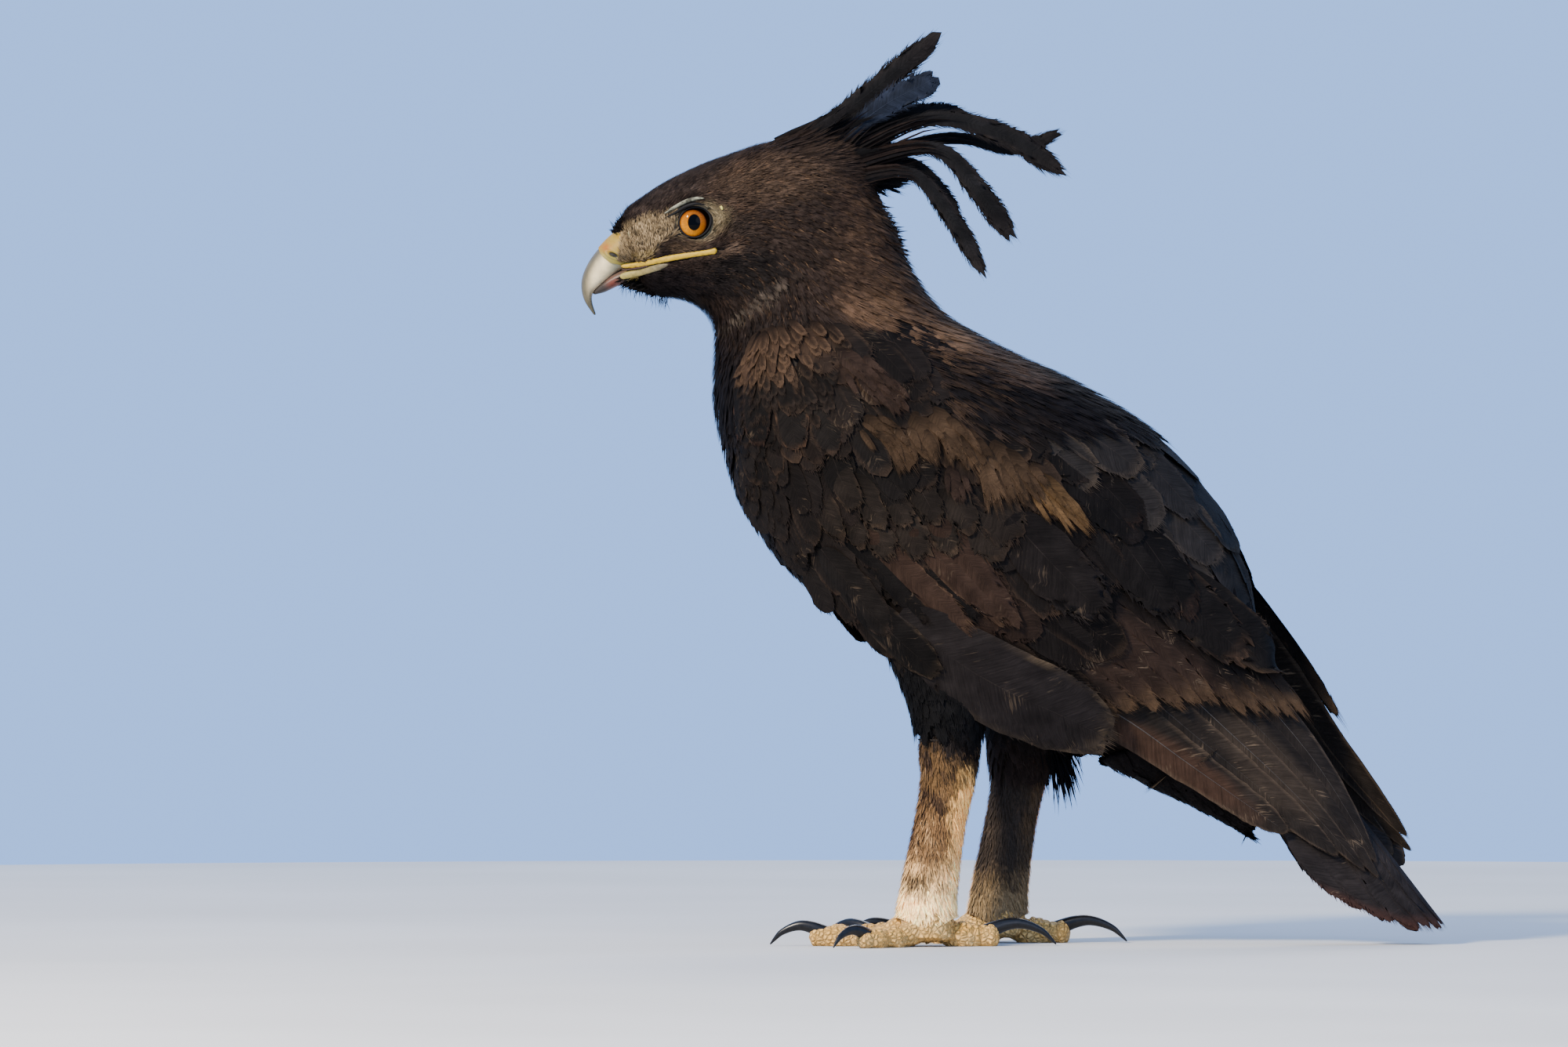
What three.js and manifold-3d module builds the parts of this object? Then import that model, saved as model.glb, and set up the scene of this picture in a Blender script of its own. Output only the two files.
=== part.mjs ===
// A long-crested eagle as a life-size still model, standing with its wings folded and its crest blown back.
// Millimetres, +Z up. The bird looks along -X, its left side faces -Y, and its toes stand on Z = 0.
import * as THREE from "three";
import { mergeVertices } from "three/addons/utils/BufferGeometryUtils.js";
import Module from "manifold-3d";

const wasm = await Module();
wasm.setup();

// ---- Driving dimensions ----
const GAP = 0.35; // clearance left between two pieces that touch
const ROOM = 1.5; // clearance left round the wings' curved sheets
const EYE = { radius: 10.2, x: -146.9, y: 14.6, z: 331.9, dish: 15.5 };
const STANCE = { halfWidth: 29, rightAhead: -33.5 }; // the right foot stands behind the left one
const FEATHER = { thick: 1.5, edge: 0.5 }; // of a long feather, at its shaft and at its rim
const SQUARE = 2.3; // how boxy a body section is: 2 is an ellipse

// Each body station gives its upper point, its lower point and its half width.
const BODY = {
  face: { top: [-185.5, 333], under: [-175, 302], half: 11.5 },
  brow: { top: [-174, 341.5], under: [-163.5, 297.5], half: 18 },
  eyes: { top: [-156.5, 352.5], under: [-152.5, 295.5], half: 23.5 },
  crown: { top: [-133, 362.5], under: [-144.5, 291.5], half: 27.5 },
  crest: { top: [-106, 369.5], under: [-140.5, 286.5], half: 31 },
  poll: { top: [-75, 359], under: [-138.5, 281], half: 33.5 },
  nape: { top: [-59, 334], under: [-138, 272], half: 36 },
  neck: { top: [-51, 314], under: [-138.5, 259], half: 41 },
  mantle: { top: [-33, 290.5], under: [-137.5, 243], half: 50 },
  shoulder: { top: [-2, 272.5], under: [-132.5, 221.5], half: 58 },
  back: { top: [31, 257], under: [-123.5, 197.5], half: 61 },
  midback: { top: [67, 233.5], under: [-102, 170], half: 59 },
  loin: { top: [93, 201.5], under: [-74.5, 148], half: 52 },
  rump: { top: [108, 169], under: [-30, 110], half: 42 },
  vent: { top: [110, 137], under: [24, 92], half: 28 },
  tailBase: { top: [112, 108], under: [64, 80], half: 17 },
};

// The folded wing is one curved surface between a lower and an upper edge: x, z and how far out each edge
// lies, how far the surface swells between them, and how much higher the right wing lies than the left.
const WING = {
  bend: { under: [-130, 222], top: [-123, 274], outUnder: 22, outTop: 35, swell: 8, higher: 0 },
  wrist: { under: [-121, 204], top: [-110, 287], outUnder: 26, outTop: 39.5, swell: 17, higher: 0 },
  forearm: { under: [-90, 167], top: [-64, 283], outUnder: 32, outTop: 46.5, swell: 22, higher: 1 },
  elbow: { under: [-48, 130], top: [-5, 246], outUnder: 34, outTop: 52.5, swell: 20, higher: 5 },
  inner: { under: [-7, 101], top: [42, 213], outUnder: 28, outTop: 49, swell: 17, higher: 10 },
  lower: { under: [35, 89.5], top: [83, 175], outUnder: 27, outTop: 34, swell: 12, higher: 15 },
  hand: { under: [72, 71], top: [117, 132], outUnder: 27, outTop: 19, swell: 7, higher: 15.5 },
  tips: { under: [110, 51], top: [149, 88], outUnder: 26, outTop: 11, swell: 4, higher: 12 },
  end: { under: [158, 27], top: [174, 34], outUnder: 23, outTop: 12, swell: 0, higher: 20 },
};
const HIGHER = [0.8, 0.6]; // the way the right wing is raised: x, z
const SECONDARIES = { count: 6, start: 0.012, lowTip: 0.725, highTip: 0.865, thick: 9, thin: 2.4 };
const PRIMARIES = {
  root: 0.56,
  tips: [0.9, 0.955, 0.985, 1, 0.985],
  thick: 2.2,
  thin: 1.1,
  depth: 6.5, // under the wing's outer surface at the root, and at the tips
  tipDepth: 3.4,
};
const SCALLOP = 0.028; // how far a feather's tip stands out from the notch beside it, of the wing's length

// The bill, in the same stations as the body: from inside the face out to the hook.
const UPPER_BILL = [
  { top: [-176, 329], under: [-172, 307], half: 10.5 },
  { top: [-184, 325.5], under: [-180, 307.5], half: 9 },
  { top: [-190.5, 320], under: [-184.5, 305.5], half: 7.6 },
  { top: [-196, 312.5], under: [-188.5, 302.5], half: 6 },
  { top: [-198.8, 304.5], under: [-192, 298.5], half: 4.2 },
  { top: [-197.8, 296.5], under: [-193.6, 294.8], half: 2.3 },
  { top: [-193.2, 289], under: [-192, 289], half: 0.7 },
];
const LOWER_BILL = [
  { top: [-168, 309], under: [-165, 301], half: 8.6 },
  { top: [-176, 306.8], under: [-172.5, 300.5], half: 8 },
  { top: [-183.2, 304.2], under: [-180, 299.6], half: 6.6 },
  { top: [-188.6, 300.6], under: [-187, 297.4], half: 4.4 },
  { top: [-191.2, 297.4], under: [-190.8, 296.2], half: 1.6 },
];
const CERE_END = 0.3; // the share of the upper bill that the cere covers
const GAPE = { from: [-176, 309.2], to: [-137.5, 319.2], thick: 1.35 };

// Each crest feather: root, one or two points between, tip, its place across the head and its half width.
const CREST = [
  { path: [[-104, 367], [-86, 377], [-66, 391.5], [-37.5, 415.5]], across: 1.4, half: 5.6 },
  { path: [[-84, 366], [-60, 385], [-37, 397]], across: -5.2, half: 5.4 },
  { path: [[-84, 362], [-54, 380.5], [-24, 382.5]], across: 4.6, half: 4.6 },
  { path: [[-80, 360], [-40, 379], [-4, 371.5], [21, 355]], across: -1.9, half: 5.4 },
  { path: [[-80, 357], [-34, 371], [0, 366], [20.5, 373]], across: 8, half: 3.6 },
  { path: [[-78, 356], [-38, 365.5], [-17, 346.5], [-1.5, 324.5]], across: -8.6, half: 5.4 },
  { path: [[-76, 350], [-48, 354], [-29, 333.5], [-15, 309]], across: -11.8, half: 4.6 },
  { path: [[-78, 352], [-50, 360], [-33, 345], [-26, 330]], across: 11.4, half: 4.2 },
];

// The leg, in stations like the body's: front point, back point and half width, from the thigh to the toes.
const THIGH = [
  { top: [-70, 160], under: [-4, 150], half: 21 },
  { top: [-60, 136], under: [-4, 130], half: 20.5 },
  { top: [-53, 120], under: [-9, 116], half: 18.5 },
  { top: [-48, 106], under: [-13, 104], half: 16 },
  { top: [-46, 91], under: [-15, 91], half: 14.5 },
];
const SHANK = [
  { top: [-41, 102], under: [-19, 102], half: 10.5 },
  { top: [-44, 92], under: [-16.5, 92], half: 12.8 },
  { top: [-43.2, 77], under: [-18.3, 77], half: 12 },
  { top: [-45.6, 60], under: [-22.3, 60], half: 11.2 },
  { top: [-49, 43], under: [-25, 43], half: 10.8 },
  { top: [-52.4, 27], under: [-26.8, 27], half: 11 },
  { top: [-53.5, 17], under: [-28, 17], half: 10.8 },
];
// Behind the right leg a tuft of thigh feathers hangs down: from, to, and its thickness at the top.
const THIGH_TUFT = { from: [13, 101], to: [28.5, 66], thick: 8 };

// Toes: the angle out from straight ahead, the length to the claw, the radius, the joints, the claw's length.
const ANKLE = [-40, 10.5];
const TOES = {
  middle: { turn: 6, length: 55, radius: 5.4, joints: 4, claw: 21 },
  inner: { turn: 33, length: 37, radius: 5.6, joints: 3, claw: 23 },
  outer: { turn: -42, length: 43, radius: 4.9, joints: 4, claw: 18 },
  hind: { turn: 172, length: 33, radius: 6, joints: 2, claw: 27 },
};

// The tail is a steep roof of long feathers from under the rump. Its outer feathers end `stagger` earlier.
const TAIL = {
  root: [66, 168],
  length: 209,
  dip: -50.6, // degrees
  feathers: 6,
  quill: 8,
  half: 21,
  roof: 35,
  stagger: 52,
  scallop: 6,
  thick: 2.4,
};

const COLOURS = {
  plumage: 0x2b1f19,
  hackles: 0x4a3628,
  wing: 0x33261d,
  quills: 0x211b19,
  crest: 0x1b1614,
  shank: 0xb79672,
  toes: 0xc9a45c,
  claw: 0x16161a,
  horn: 0x8f908c,
  cere: 0xd9b44a,
  iris: 0xd9831c,
};

// ---- Solids ----
const lerp = THREE.MathUtils.lerp;
const radians = THREE.MathUtils.degToRad;
const UP = new THREE.Vector3(0, 0, 1);
const LATERAL = new THREE.Vector3(0, 1, 0);
const flat = ([x, z], y = 0) => new THREE.Vector3(x, y, z);
const curveOf = (stations, point) => new THREE.CatmullRomCurve3(stations.map(point), false, "catmullrom");

function solidOf(geometry) {
  geometry.deleteAttribute("normal");
  geometry.deleteAttribute("uv");
  const merged = mergeVertices(geometry, 1e-3);
  const positions = merged.getAttribute("position").array;
  const triangles = new Uint32Array(merged.index.array);
  const make = () =>
    new wasm.Manifold(new wasm.Mesh({ numProp: 3, vertProperties: positions, triVerts: triangles }));
  const made = make();
  if (made.volume() > 0) return made;
  for (let i = 0; i < triangles.length; i += 3) {
    [triangles[i + 1], triangles[i + 2]] = [triangles[i + 2], triangles[i + 1]];
  }
  return make();
}

function geometryOf(solid) {
  const mesh = solid.getMesh();
  const geometry = new THREE.BufferGeometry();
  geometry.setAttribute("position", new THREE.BufferAttribute(new Float32Array(mesh.vertProperties), 3));
  geometry.setIndex(new THREE.BufferAttribute(new Uint32Array(mesh.triVerts), 1));
  return geometry;
}

// Moves every vertex of a three.js geometry to where place(u, v, w) says.
function shaped(geometry, parameters, place) {
  const position = geometry.getAttribute("position");
  for (let i = 0; i < position.count; i++) {
    const point = place(...parameters(i));
    position.setXYZ(i, point.x, point.y, point.z);
  }
  return solidOf(geometry);
}

// The solid with every face moved out by the clearance: a vertex goes further where its faces meet sharply.
function grown(solid) {
  const geometry = mergeVertices(geometryOf(solid), 1e-3);
  geometry.computeVertexNormals();
  const position = geometry.getAttribute("position");
  const normal = geometry.getAttribute("normal");
  const corners = geometry.index.array;
  const at = (i) => new THREE.Vector3().fromBufferAttribute(position, i);
  const outwards = (i) => new THREE.Vector3().fromBufferAttribute(normal, i);
  const lean = new Float32Array(position.count).fill(1);
  for (let i = 0; i < corners.length; i += 3) {
    const [a, b, c] = corners.slice(i, i + 3);
    const face = at(b).sub(at(a)).cross(at(c).sub(at(a)));
    if (face.length() < 1e-6) continue;
    face.normalize();
    for (const j of [a, b, c]) lean[j] = Math.min(lean[j], face.dot(outwards(j)));
  }
  const reach = (i) => GAP / Math.max(0.2, lean[i]);
  const moved = Array.from(lean, (_, i) => at(i).addScaledVector(outwards(i), reach(i)));
  moved.forEach(({ x, y, z }, i) => position.setXYZ(i, x, y, z));
  return solidOf(geometry);
}

const largest = (solid) =>
  solid.decompose().reduce((best, piece) => (piece.volume() > best.volume() ? piece : best));
const cutBy = (solid, ...others) =>
  largest(others.reduce((left, other) => left.subtract(grown(other)), solid));
const joined = (solids) => solids.reduce((all, solid) => all.add(solid));

function box(length, width, height, x, y, z, turn = 0) {
  return solidOf(new THREE.BoxGeometry(length, width, height).rotateY(turn).translate(x, y, z));
}

function ellipsoid(rx, ry, rz, x, y, z, sides = 16, rings = 12) {
  return solidOf(new THREE.SphereGeometry(1, sides, rings).scale(rx, ry, rz).translate(x, y, z));
}

// 1 along a length, falling to 0 as an ellipse does over the last share of it.
const round = (t, end) => (t < end ? Math.sqrt(Math.max(0, 1 - (1 - t / end) ** 2)) : 1);
// Shares of a length that crowd towards its two ends.
const crowded = (share) => share - (0.45 * Math.sin(2 * Math.PI * share)) / (2 * Math.PI);

// A closed body through stations, each a superellipse between an upper and a lower point, with round ends.
function loft(stations, { sides = 20, rings = 24, square = SQUARE, nose = 0.06, tail = 0.06, across = 0 }) {
  const top = curveOf(stations, (s) => flat(s.top, s.half));
  const under = curveOf(stations, (s) => flat(s.under));
  const sphere = new THREE.SphereGeometry(1, sides, rings);
  const uv = sphere.getAttribute("uv");
  const power = (value) => Math.sign(value) * Math.abs(value) ** (2 / square);
  return shaped(
    sphere,
    (i) => [uv.getX(i), 1 - uv.getY(i)],
    (turn, share) => {
      const t = crowded(share);
      const a = top.getPoint(t);
      const b = under.getPoint(t);
      const size = round(t, nose) * round(1 - t, tail);
      const along = (power(Math.cos(2 * Math.PI * turn)) * size) / 2;
      const point = a.clone().add(b).multiplyScalar(0.5).addScaledVector(a.clone().sub(b), along);
      point.y = across + a.y * power(Math.sin(2 * Math.PI * turn)) * size;
      return point;
    },
  );
}

// A round limb along a curve, with radii [sideways, upwards] at each share of its length.
function limb(points, radii, { sides = 10, rings = 14, end = 0.04 }) {
  const path = new THREE.CatmullRomCurve3(points);
  const sphere = new THREE.SphereGeometry(1, sides, rings);
  const uv = sphere.getAttribute("uv");
  return shaped(
    sphere,
    (i) => [uv.getX(i), 1 - uv.getY(i)],
    (turn, even) => {
      const share = crowded(even);
      const size = round(share, end) * round(1 - share, end);
      const along = path.getTangent(share);
      const side = new THREE.Vector3().crossVectors(UP, along);
      if (side.length() < 0.2) side.copy(LATERAL);
      side.normalize();
      const rise = new THREE.Vector3().crossVectors(along, side).normalize();
      const [wide, high] = radii(share);
      return path
        .getPoint(share)
        .addScaledVector(side, size * wide * Math.cos(2 * Math.PI * turn))
        .addScaledVector(rise, size * high * Math.sin(2 * Math.PI * turn));
    },
  );
}

// A slab whose middle surface is place(u, v), with its normal, for u and v from 0 to 1.
function slab(alongSteps, acrossSteps, place, thickness) {
  const block = new THREE.BoxGeometry(1, 1, 1, alongSteps, acrossSteps, 1);
  const position = block.getAttribute("position").clone();
  return shaped(
    block,
    (i) => [position.getX(i) + 0.5, position.getY(i) + 0.5, position.getZ(i) * 2],
    (u, v, face) => {
      const { point, normal } = place(u, v);
      return point.addScaledVector(normal, (face * thickness(u, v)) / 2);
    },
  );
}

// A long feather: half its width at each share of its length, narrow at the quill and round at the tip.
const vane = (share, half, quill) =>
  half *
  Math.sqrt(Math.max(0.02, 1 - Math.max(0, (share - 0.82) / 0.18) ** 2.2)) *
  lerp(quill, 1, Math.min(1, share / 0.3) ** 0.7);
const featherThickness = (u, v) =>
  lerp(FEATHER.thick, FEATHER.edge, Math.abs(2 * v - 1) ** 1.5) * (u > 0.97 ? 0.6 : 1);

// A feather along a curve, with its flat side facing a given way.
function blade(path, facing, half, { steps = 8, across = 2, quill = 0.35 } = {}) {
  const place = (u, v) => {
    const along = path.getTangent(u);
    const normal = facing.clone().addScaledVector(along, -facing.dot(along)).normalize();
    const side = new THREE.Vector3().crossVectors(along, normal);
    return { point: path.getPoint(u).addScaledVector(side, vane(u, half, quill) * (2 * v - 1)), normal };
  };
  return slab(steps, across, place, featherThickness);
}

// ---- Head, neck and trunk: one body, parted by thin cuts ----
const bodyWhole = loft(Object.values(BODY), { sides: 18, rings: 25, nose: 0.05, tail: 0.05 });

function thinCut(upper, lower) {
  const [x0, z0] = upper;
  const [x1, z1] = lower;
  const reach = 3 * Math.hypot(x1 - x0, z1 - z0);
  return box(reach, 300, GAP, (x0 + x1) / 2, 0, (z0 + z1) / 2, -Math.atan2(z1 - z0, x1 - x0));
}
const headCut = thinCut([-66, 347], [-138, 284]);
const neckCut = thinCut([-38, 297], [-137, 262]);

// ---- Wings ----
const wingStations = Object.values(WING);
const wingTop = curveOf(wingStations, (s) => flat(s.top, s.outTop));
const wingUnder = curveOf(wingStations, (s) => flat(s.under, s.outUnder));
// How far the surface swells (x) and how much higher the right wing lies (y), along the wing.
const wingSwell = curveOf(wingStations, (s) => new THREE.Vector3(s.swell, s.higher, 0));

// A wing's outer surface at a share u of its length and v of its depth. The left wing (side -1) is at -Y.
function wingPoint(side, u, v) {
  const point = wingUnder.getPoint(u).lerp(wingTop.getPoint(u), v);
  const { x: swell, y: higher } = wingSwell.getPoint(u);
  point.y = side * (point.y + swell * 4 * v * (1 - v));
  if (side > 0) point.add(new THREE.Vector3(HIGHER[0] * higher, 0, HIGHER[1] * higher));
  return point;
}

// The point that lies a depth under that surface, with the surface's normal.
function wingPlace(side, u, v, depth) {
  const step = 1e-3;
  const inside = Math.min(1 - step, Math.max(step, u));
  const alongU = wingPoint(side, inside + step, v).sub(wingPoint(side, inside - step, v));
  const alongV = wingPoint(side, inside, v + step).sub(wingPoint(side, inside, v - step));
  const normal = new THREE.Vector3().crossVectors(alongU, alongV).normalize();
  if (normal.y * side < 0) normal.negate();
  const point = wingPoint(side, inside, v).addScaledVector(normal, -depth);
  return { point, normal };
}

// The round tips of a row of feathers: 0 at the notches between them and 1 at their middles.
const scallops = (v, count) => Math.sqrt(Math.max(0, 1 - (2 * ((v * count) % 1) - 1) ** 2));

// The coverts and secondaries as one sheet, thick at the wrist and thin at its scalloped end.
function covertThickness(u, v) {
  const rim = Math.sqrt(Math.max(0.08, 1 - Math.abs(2 * v - 1) ** 5));
  const front = Math.sqrt(Math.min(1, 0.12 + u / 0.06));
  return Math.max(1, lerp(SECONDARIES.thick, SECONDARIES.thin, Math.min(1, u * 1.15)) * rim * front);
}
function covertSheet(side) {
  const { count, start, lowTip, highTip } = SECONDARIES;
  const end = (v) => lerp(lowTip, highTip, v) + SCALLOP * (scallops(v, count) - 0.5);
  const place = (u, v) => wingPlace(side, lerp(start, end(v), u), v, covertThickness(u, v) / 2);
  return slab(8, 3 * count, place, covertThickness);
}

// The primaries as one sheet under the secondaries, each feather ending at its own place.
const primaryDepth = (u) => {
  const { root, depth, tipDepth } = PRIMARIES;
  return lerp(depth, tipDepth, (u - root) / (1 - root));
};
function primarySheet(side) {
  const { root, tips, thick, thin } = PRIMARIES;
  const end = (v) => tips[Math.min(tips.length - 1, Math.floor(v * tips.length))];
  const reach = (v) => end(v) + SCALLOP * (scallops(v, tips.length) - 1);
  const place = (u, v) => {
    const along = lerp(root, reach(v), u);
    return wingPlace(side, along, lerp(0.02, 0.97, v), primaryDepth(along));
  };
  return slab(4, 3 * tips.length, place, (u) => lerp(thick, thin, u));
}

// The room that a wing takes, with its clearance: the trunk and the tail are cut back to it.
function wingRoom(side) {
  const depth = (u, v) => {
    const quills = u < PRIMARIES.root - 0.04 ? 0 : primaryDepth(u) + PRIMARIES.thick / 2;
    return Math.max(covertThickness(u / SECONDARIES.highTip, v), quills) + ROOM;
  };
  const place = (u, v) => wingPlace(side, u, lerp(-0.02, 1.02, v), (depth(u, v) - ROOM) / 2);
  return slab(10, 6, place, (u, v) => depth(u, v) + ROOM);
}
const wingRooms = [wingRoom(-1), wingRoom(1)];

// ---- Tail ----
function tailSheet() {
  const dip = radians(TAIL.dip);
  const along = new THREE.Vector3(Math.cos(dip), 0, Math.sin(dip));
  const over = new THREE.Vector3(-along.z, 0, along.x);
  const point = (u, v) => {
    const across = 2 * v - 1;
    const scallop = TAIL.scallop * (1 - scallops(v, TAIL.feathers));
    const reach = TAIL.length - TAIL.stagger * Math.abs(across) ** 3.2 - scallop;
    return flat(TAIL.root)
      .addScaledVector(along, reach * u)
      .addScaledVector(over, -TAIL.roof * across * across * lerp(0.6, 1, u) + 2.5 * Math.sin(Math.PI * u))
      .addScaledVector(LATERAL, across * lerp(TAIL.quill, TAIL.half, Math.min(1, u * 1.6)));
  };
  const place = (u, v) => {
    const slope = (2 * (2 * v - 1) * TAIL.roof) / TAIL.half;
    return { point: point(u, v), normal: over.clone().addScaledVector(LATERAL, slope).normalize() };
  };
  return slab(5, 2 * TAIL.feathers, place, (u) => lerp(TAIL.thick, 1.2, u));
}
const tail = cutBy(tailSheet(), ...wingRooms);

const UNDERTAIL = [
  { top: [84, 112], under: [34, 86], half: 22 },
  { top: [98, 92], under: [54, 76], half: 19 },
  { top: [108, 74], under: [76, 66], half: 13 },
  { top: [112, 59], under: [98, 55], half: 6 },
  { top: [108, 51], under: [105, 51], half: 1.5 },
];
const undertail = cutBy(loft(UNDERTAIL, { sides: 10, rings: 8 }), tail, ...wingRooms);

// ---- Face ----
const eyeBall = (side) => ellipsoid(EYE.radius, EYE.radius, EYE.radius, EYE.x, side * EYE.y, EYE.z, 12, 9);
const eyeDish = (side) =>
  ellipsoid(EYE.dish, 9, EYE.dish * 0.8, EYE.x, side * (EYE.y + 15.6), EYE.z - 1, 12, 6);
const browRidge = (side) =>
  limb(
    [flat([-166, 338.5], side * 17.5), flat([-153, 344.5], side * 21.5), flat([-138, 343.5], side * 24)],
    (share) => [2.6 * Math.sin(Math.PI * share) + 0.4, 2.1 * Math.sin(Math.PI * share) + 0.3],
    { sides: 5, rings: 5 },
  );

const billWhole = loft(UPPER_BILL, { sides: 10, rings: 12, square: 2.1, nose: 0.04, tail: 0.03 });
const cereEdge = new THREE.CatmullRomCurve3(UPPER_BILL.map((s) => flat(s.top))).getPoint(CERE_END);
const cereUnder = new THREE.CatmullRomCurve3(UPPER_BILL.map((s) => flat(s.under))).getPoint(CERE_END);
const cereCut = thinCut([cereEdge.x, cereEdge.z], [cereUnder.x, cereUnder.z]);
const billPieces = billWhole.subtract(cereCut).decompose();
const middleX = (solid) => {
  const bounds = solid.boundingBox();
  return (bounds.min[0] + bounds.max[0]) / 2;
};
billPieces.sort((a, b) => middleX(a) - middleX(b));
const [hornPiece, cereCore] = billPieces;

const gapeStrip = (side) =>
  limb(
    [0, 0.35, 0.7, 1].map((share) =>
      flat(
        [lerp(GAPE.from[0], GAPE.to[0], share), lerp(GAPE.from[1], GAPE.to[1], share ** 0.8)],
        side * lerp(9.6, 25.4, share ** 0.62),
      ),
    ),
    (share) => [1.7, GAPE.thick * (share > 0.02 ? 1 : 0.6)],
    { sides: 5, rings: 7 },
  );
const nostril = (side) => ellipsoid(1.9, 3, 0.9, -184.6, side * 9.2, 317.4, 8, 6);
const cere = largest(
  joined([cereCore, gapeStrip(-1), gapeStrip(1)]).subtract(nostril(-1)).subtract(nostril(1)),
);
const lowerWhole = loft(LOWER_BILL, { sides: 8, rings: 8, square: 2.1 });
const billLower = cutBy(lowerWhole, cere, hornPiece);

// ---- Crest ----
const crestFeathers = CREST.map(({ path, across, half }) =>
  blade(
    new THREE.CatmullRomCurve3(path.map((point, i) => flat(point, across * (i ? 1 + 0.1 * i : 1)))),
    LATERAL,
    half,
    { steps: 5, across: 2, quill: 0.75 },
  ),
);

// ---- Legs and feet ----
const footShift = (side) => (side < 0 ? 0 : -STANCE.rightAhead);
// The leg stations moved to where that side's foot stands.
const stepped = (stations, side) =>
  stations.map(({ top, under, half }) => ({
    top: [top[0] + footShift(side), top[1]],
    under: [under[0] + footShift(side), under[1]],
    half,
  }));
function thighWhole(side) {
  const across = side * STANCE.halfWidth;
  const thigh = loft(stepped(THIGH, side), { sides: 10, rings: 8, nose: 0.2, tail: 0.02, across });
  if (side < 0) return thigh;
  const { from, to, thick } = THIGH_TUFT;
  const tuft = limb(
    [0, 0.5, 1].map((share) => flat([lerp(from[0], to[0], share), lerp(from[1], to[1], share)], across)),
    (share) => [lerp(thick, 1, share) * 1.5, lerp(thick, 1, share)],
    { sides: 6, rings: 6 },
  );
  return thigh.add(tuft);
}
function shank(side) {
  const across = side * STANCE.halfWidth;
  return loft(stepped(SHANK, side), { sides: 10, rings: 9, square: 2, nose: 0.03, tail: 0.1, across });
}

// A toe leaves the ankle, comes down to the floor and runs along it; its pads bulge between the joints.
function toePoint(side, toe, share) {
  const turn = radians(toe.turn);
  const out = share * toe.length;
  const [x, z] = ANKLE;
  const drop = Math.min(1, share / 0.45);
  return new THREE.Vector3(
    x + footShift(side) - out * Math.cos(turn),
    side * (STANCE.halfWidth - out * Math.sin(turn)),
    lerp(z, toe.radius * 0.74, drop * drop * (3 - 2 * drop)),
  );
}
function toeSolid(side, toe) {
  const radii = (share) => {
    const end = Math.sqrt(Math.max(0, 1 - Math.max(0, (share - 0.86) / 0.14) ** 2));
    const start = Math.min(1, 0.75 + share * 2);
    const pads = 1 + 0.09 * Math.cos(2 * Math.PI * share * toe.joints);
    const taper = lerp(1.04, 0.82, share) * end * start * pads;
    return [toe.radius * taper, toe.radius * 1.04 * taper];
  };
  const points = [0, 0.25, 0.5, 0.75, 1].map((share) => toePoint(side, toe, share));
  return limb(points, radii, { sides: 6, rings: 9 });
}
function clawSolid(side, toe) {
  const root = toePoint(side, toe, 0.9);
  const end = toePoint(side, toe, 1);
  const ahead = end.clone().sub(root).setZ(0).normalize();
  const at = (out, z) => root.clone().addScaledVector(ahead, out).setZ(z);
  const high = toe.radius * 1.35;
  const arch = [[0, high], [0.42, high * 1.28], [0.86, high * 0.85], [1.12, 0.7]];
  const points = arch.map(([out, z]) => at(toe.claw * out, z));
  const radii = (share) => {
    const thick = lerp(2.9, 0.35, share ** 1.1);
    return [thick * 0.85, thick];
  };
  return limb(points, radii, { sides: 5, rings: 6 });
}

const floorCut = box(900, 600, 40, 0, 0, -20);
const footWhole = (side) => {
  const sole = ellipsoid(13, 10.5, 10.2, ANKLE[0] + footShift(side), side * STANCE.halfWidth, 9, 10, 6);
  return joined([sole, ...Object.values(TOES).map((toe) => toeSolid(side, toe))]).subtract(floorCut);
};

// ---- Fitting the pieces to each other ----
const flesh = cutBy(
  bodyWhole.subtract(eyeDish(-1)).subtract(eyeDish(1)).add(browRidge(-1)).add(browRidge(1)),
  ...wingRooms,
  tail,
  undertail,
  eyeBall(-1),
  eyeBall(1),
  cere,
  hornPiece,
  billLower,
);
const parted = flesh.subtract(headCut).subtract(neckCut).decompose();
parted.sort((a, b) => b.volume() - a.volume());
const [trunk, ...rest] = parted.slice(0, 3);
rest.sort((a, b) => middleX(a) - middleX(b));
const [head, neck] = rest;

// ---- The model ----
const bird = new THREE.Group();
function add(name, solid, colour, roughness = 0.75) {
  const material = new THREE.MeshStandardMaterial({ color: colour, roughness, metalness: 0 });
  const mesh = new THREE.Mesh(geometryOf(solid), material);
  mesh.name = name;
  bird.add(mesh);
}

add("head", head, COLOURS.plumage);
add("neck", neck, COLOURS.hackles);
add("trunk", trunk, COLOURS.plumage);
add("cere", cere, COLOURS.cere, 0.5);
add("bill_upper", hornPiece, COLOURS.horn, 0.35);
add("bill_lower", billLower, COLOURS.horn, 0.35);
crestFeathers.forEach((feather, i) => {
  const earlier = crestFeathers.slice(0, i);
  add(`crest_feather_${i + 1}`, cutBy(feather, head, ...earlier), COLOURS.crest, 0.6);
});
add("tail", tail, COLOURS.quills, 0.6);
add("undertail_coverts", undertail, COLOURS.plumage);

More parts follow.
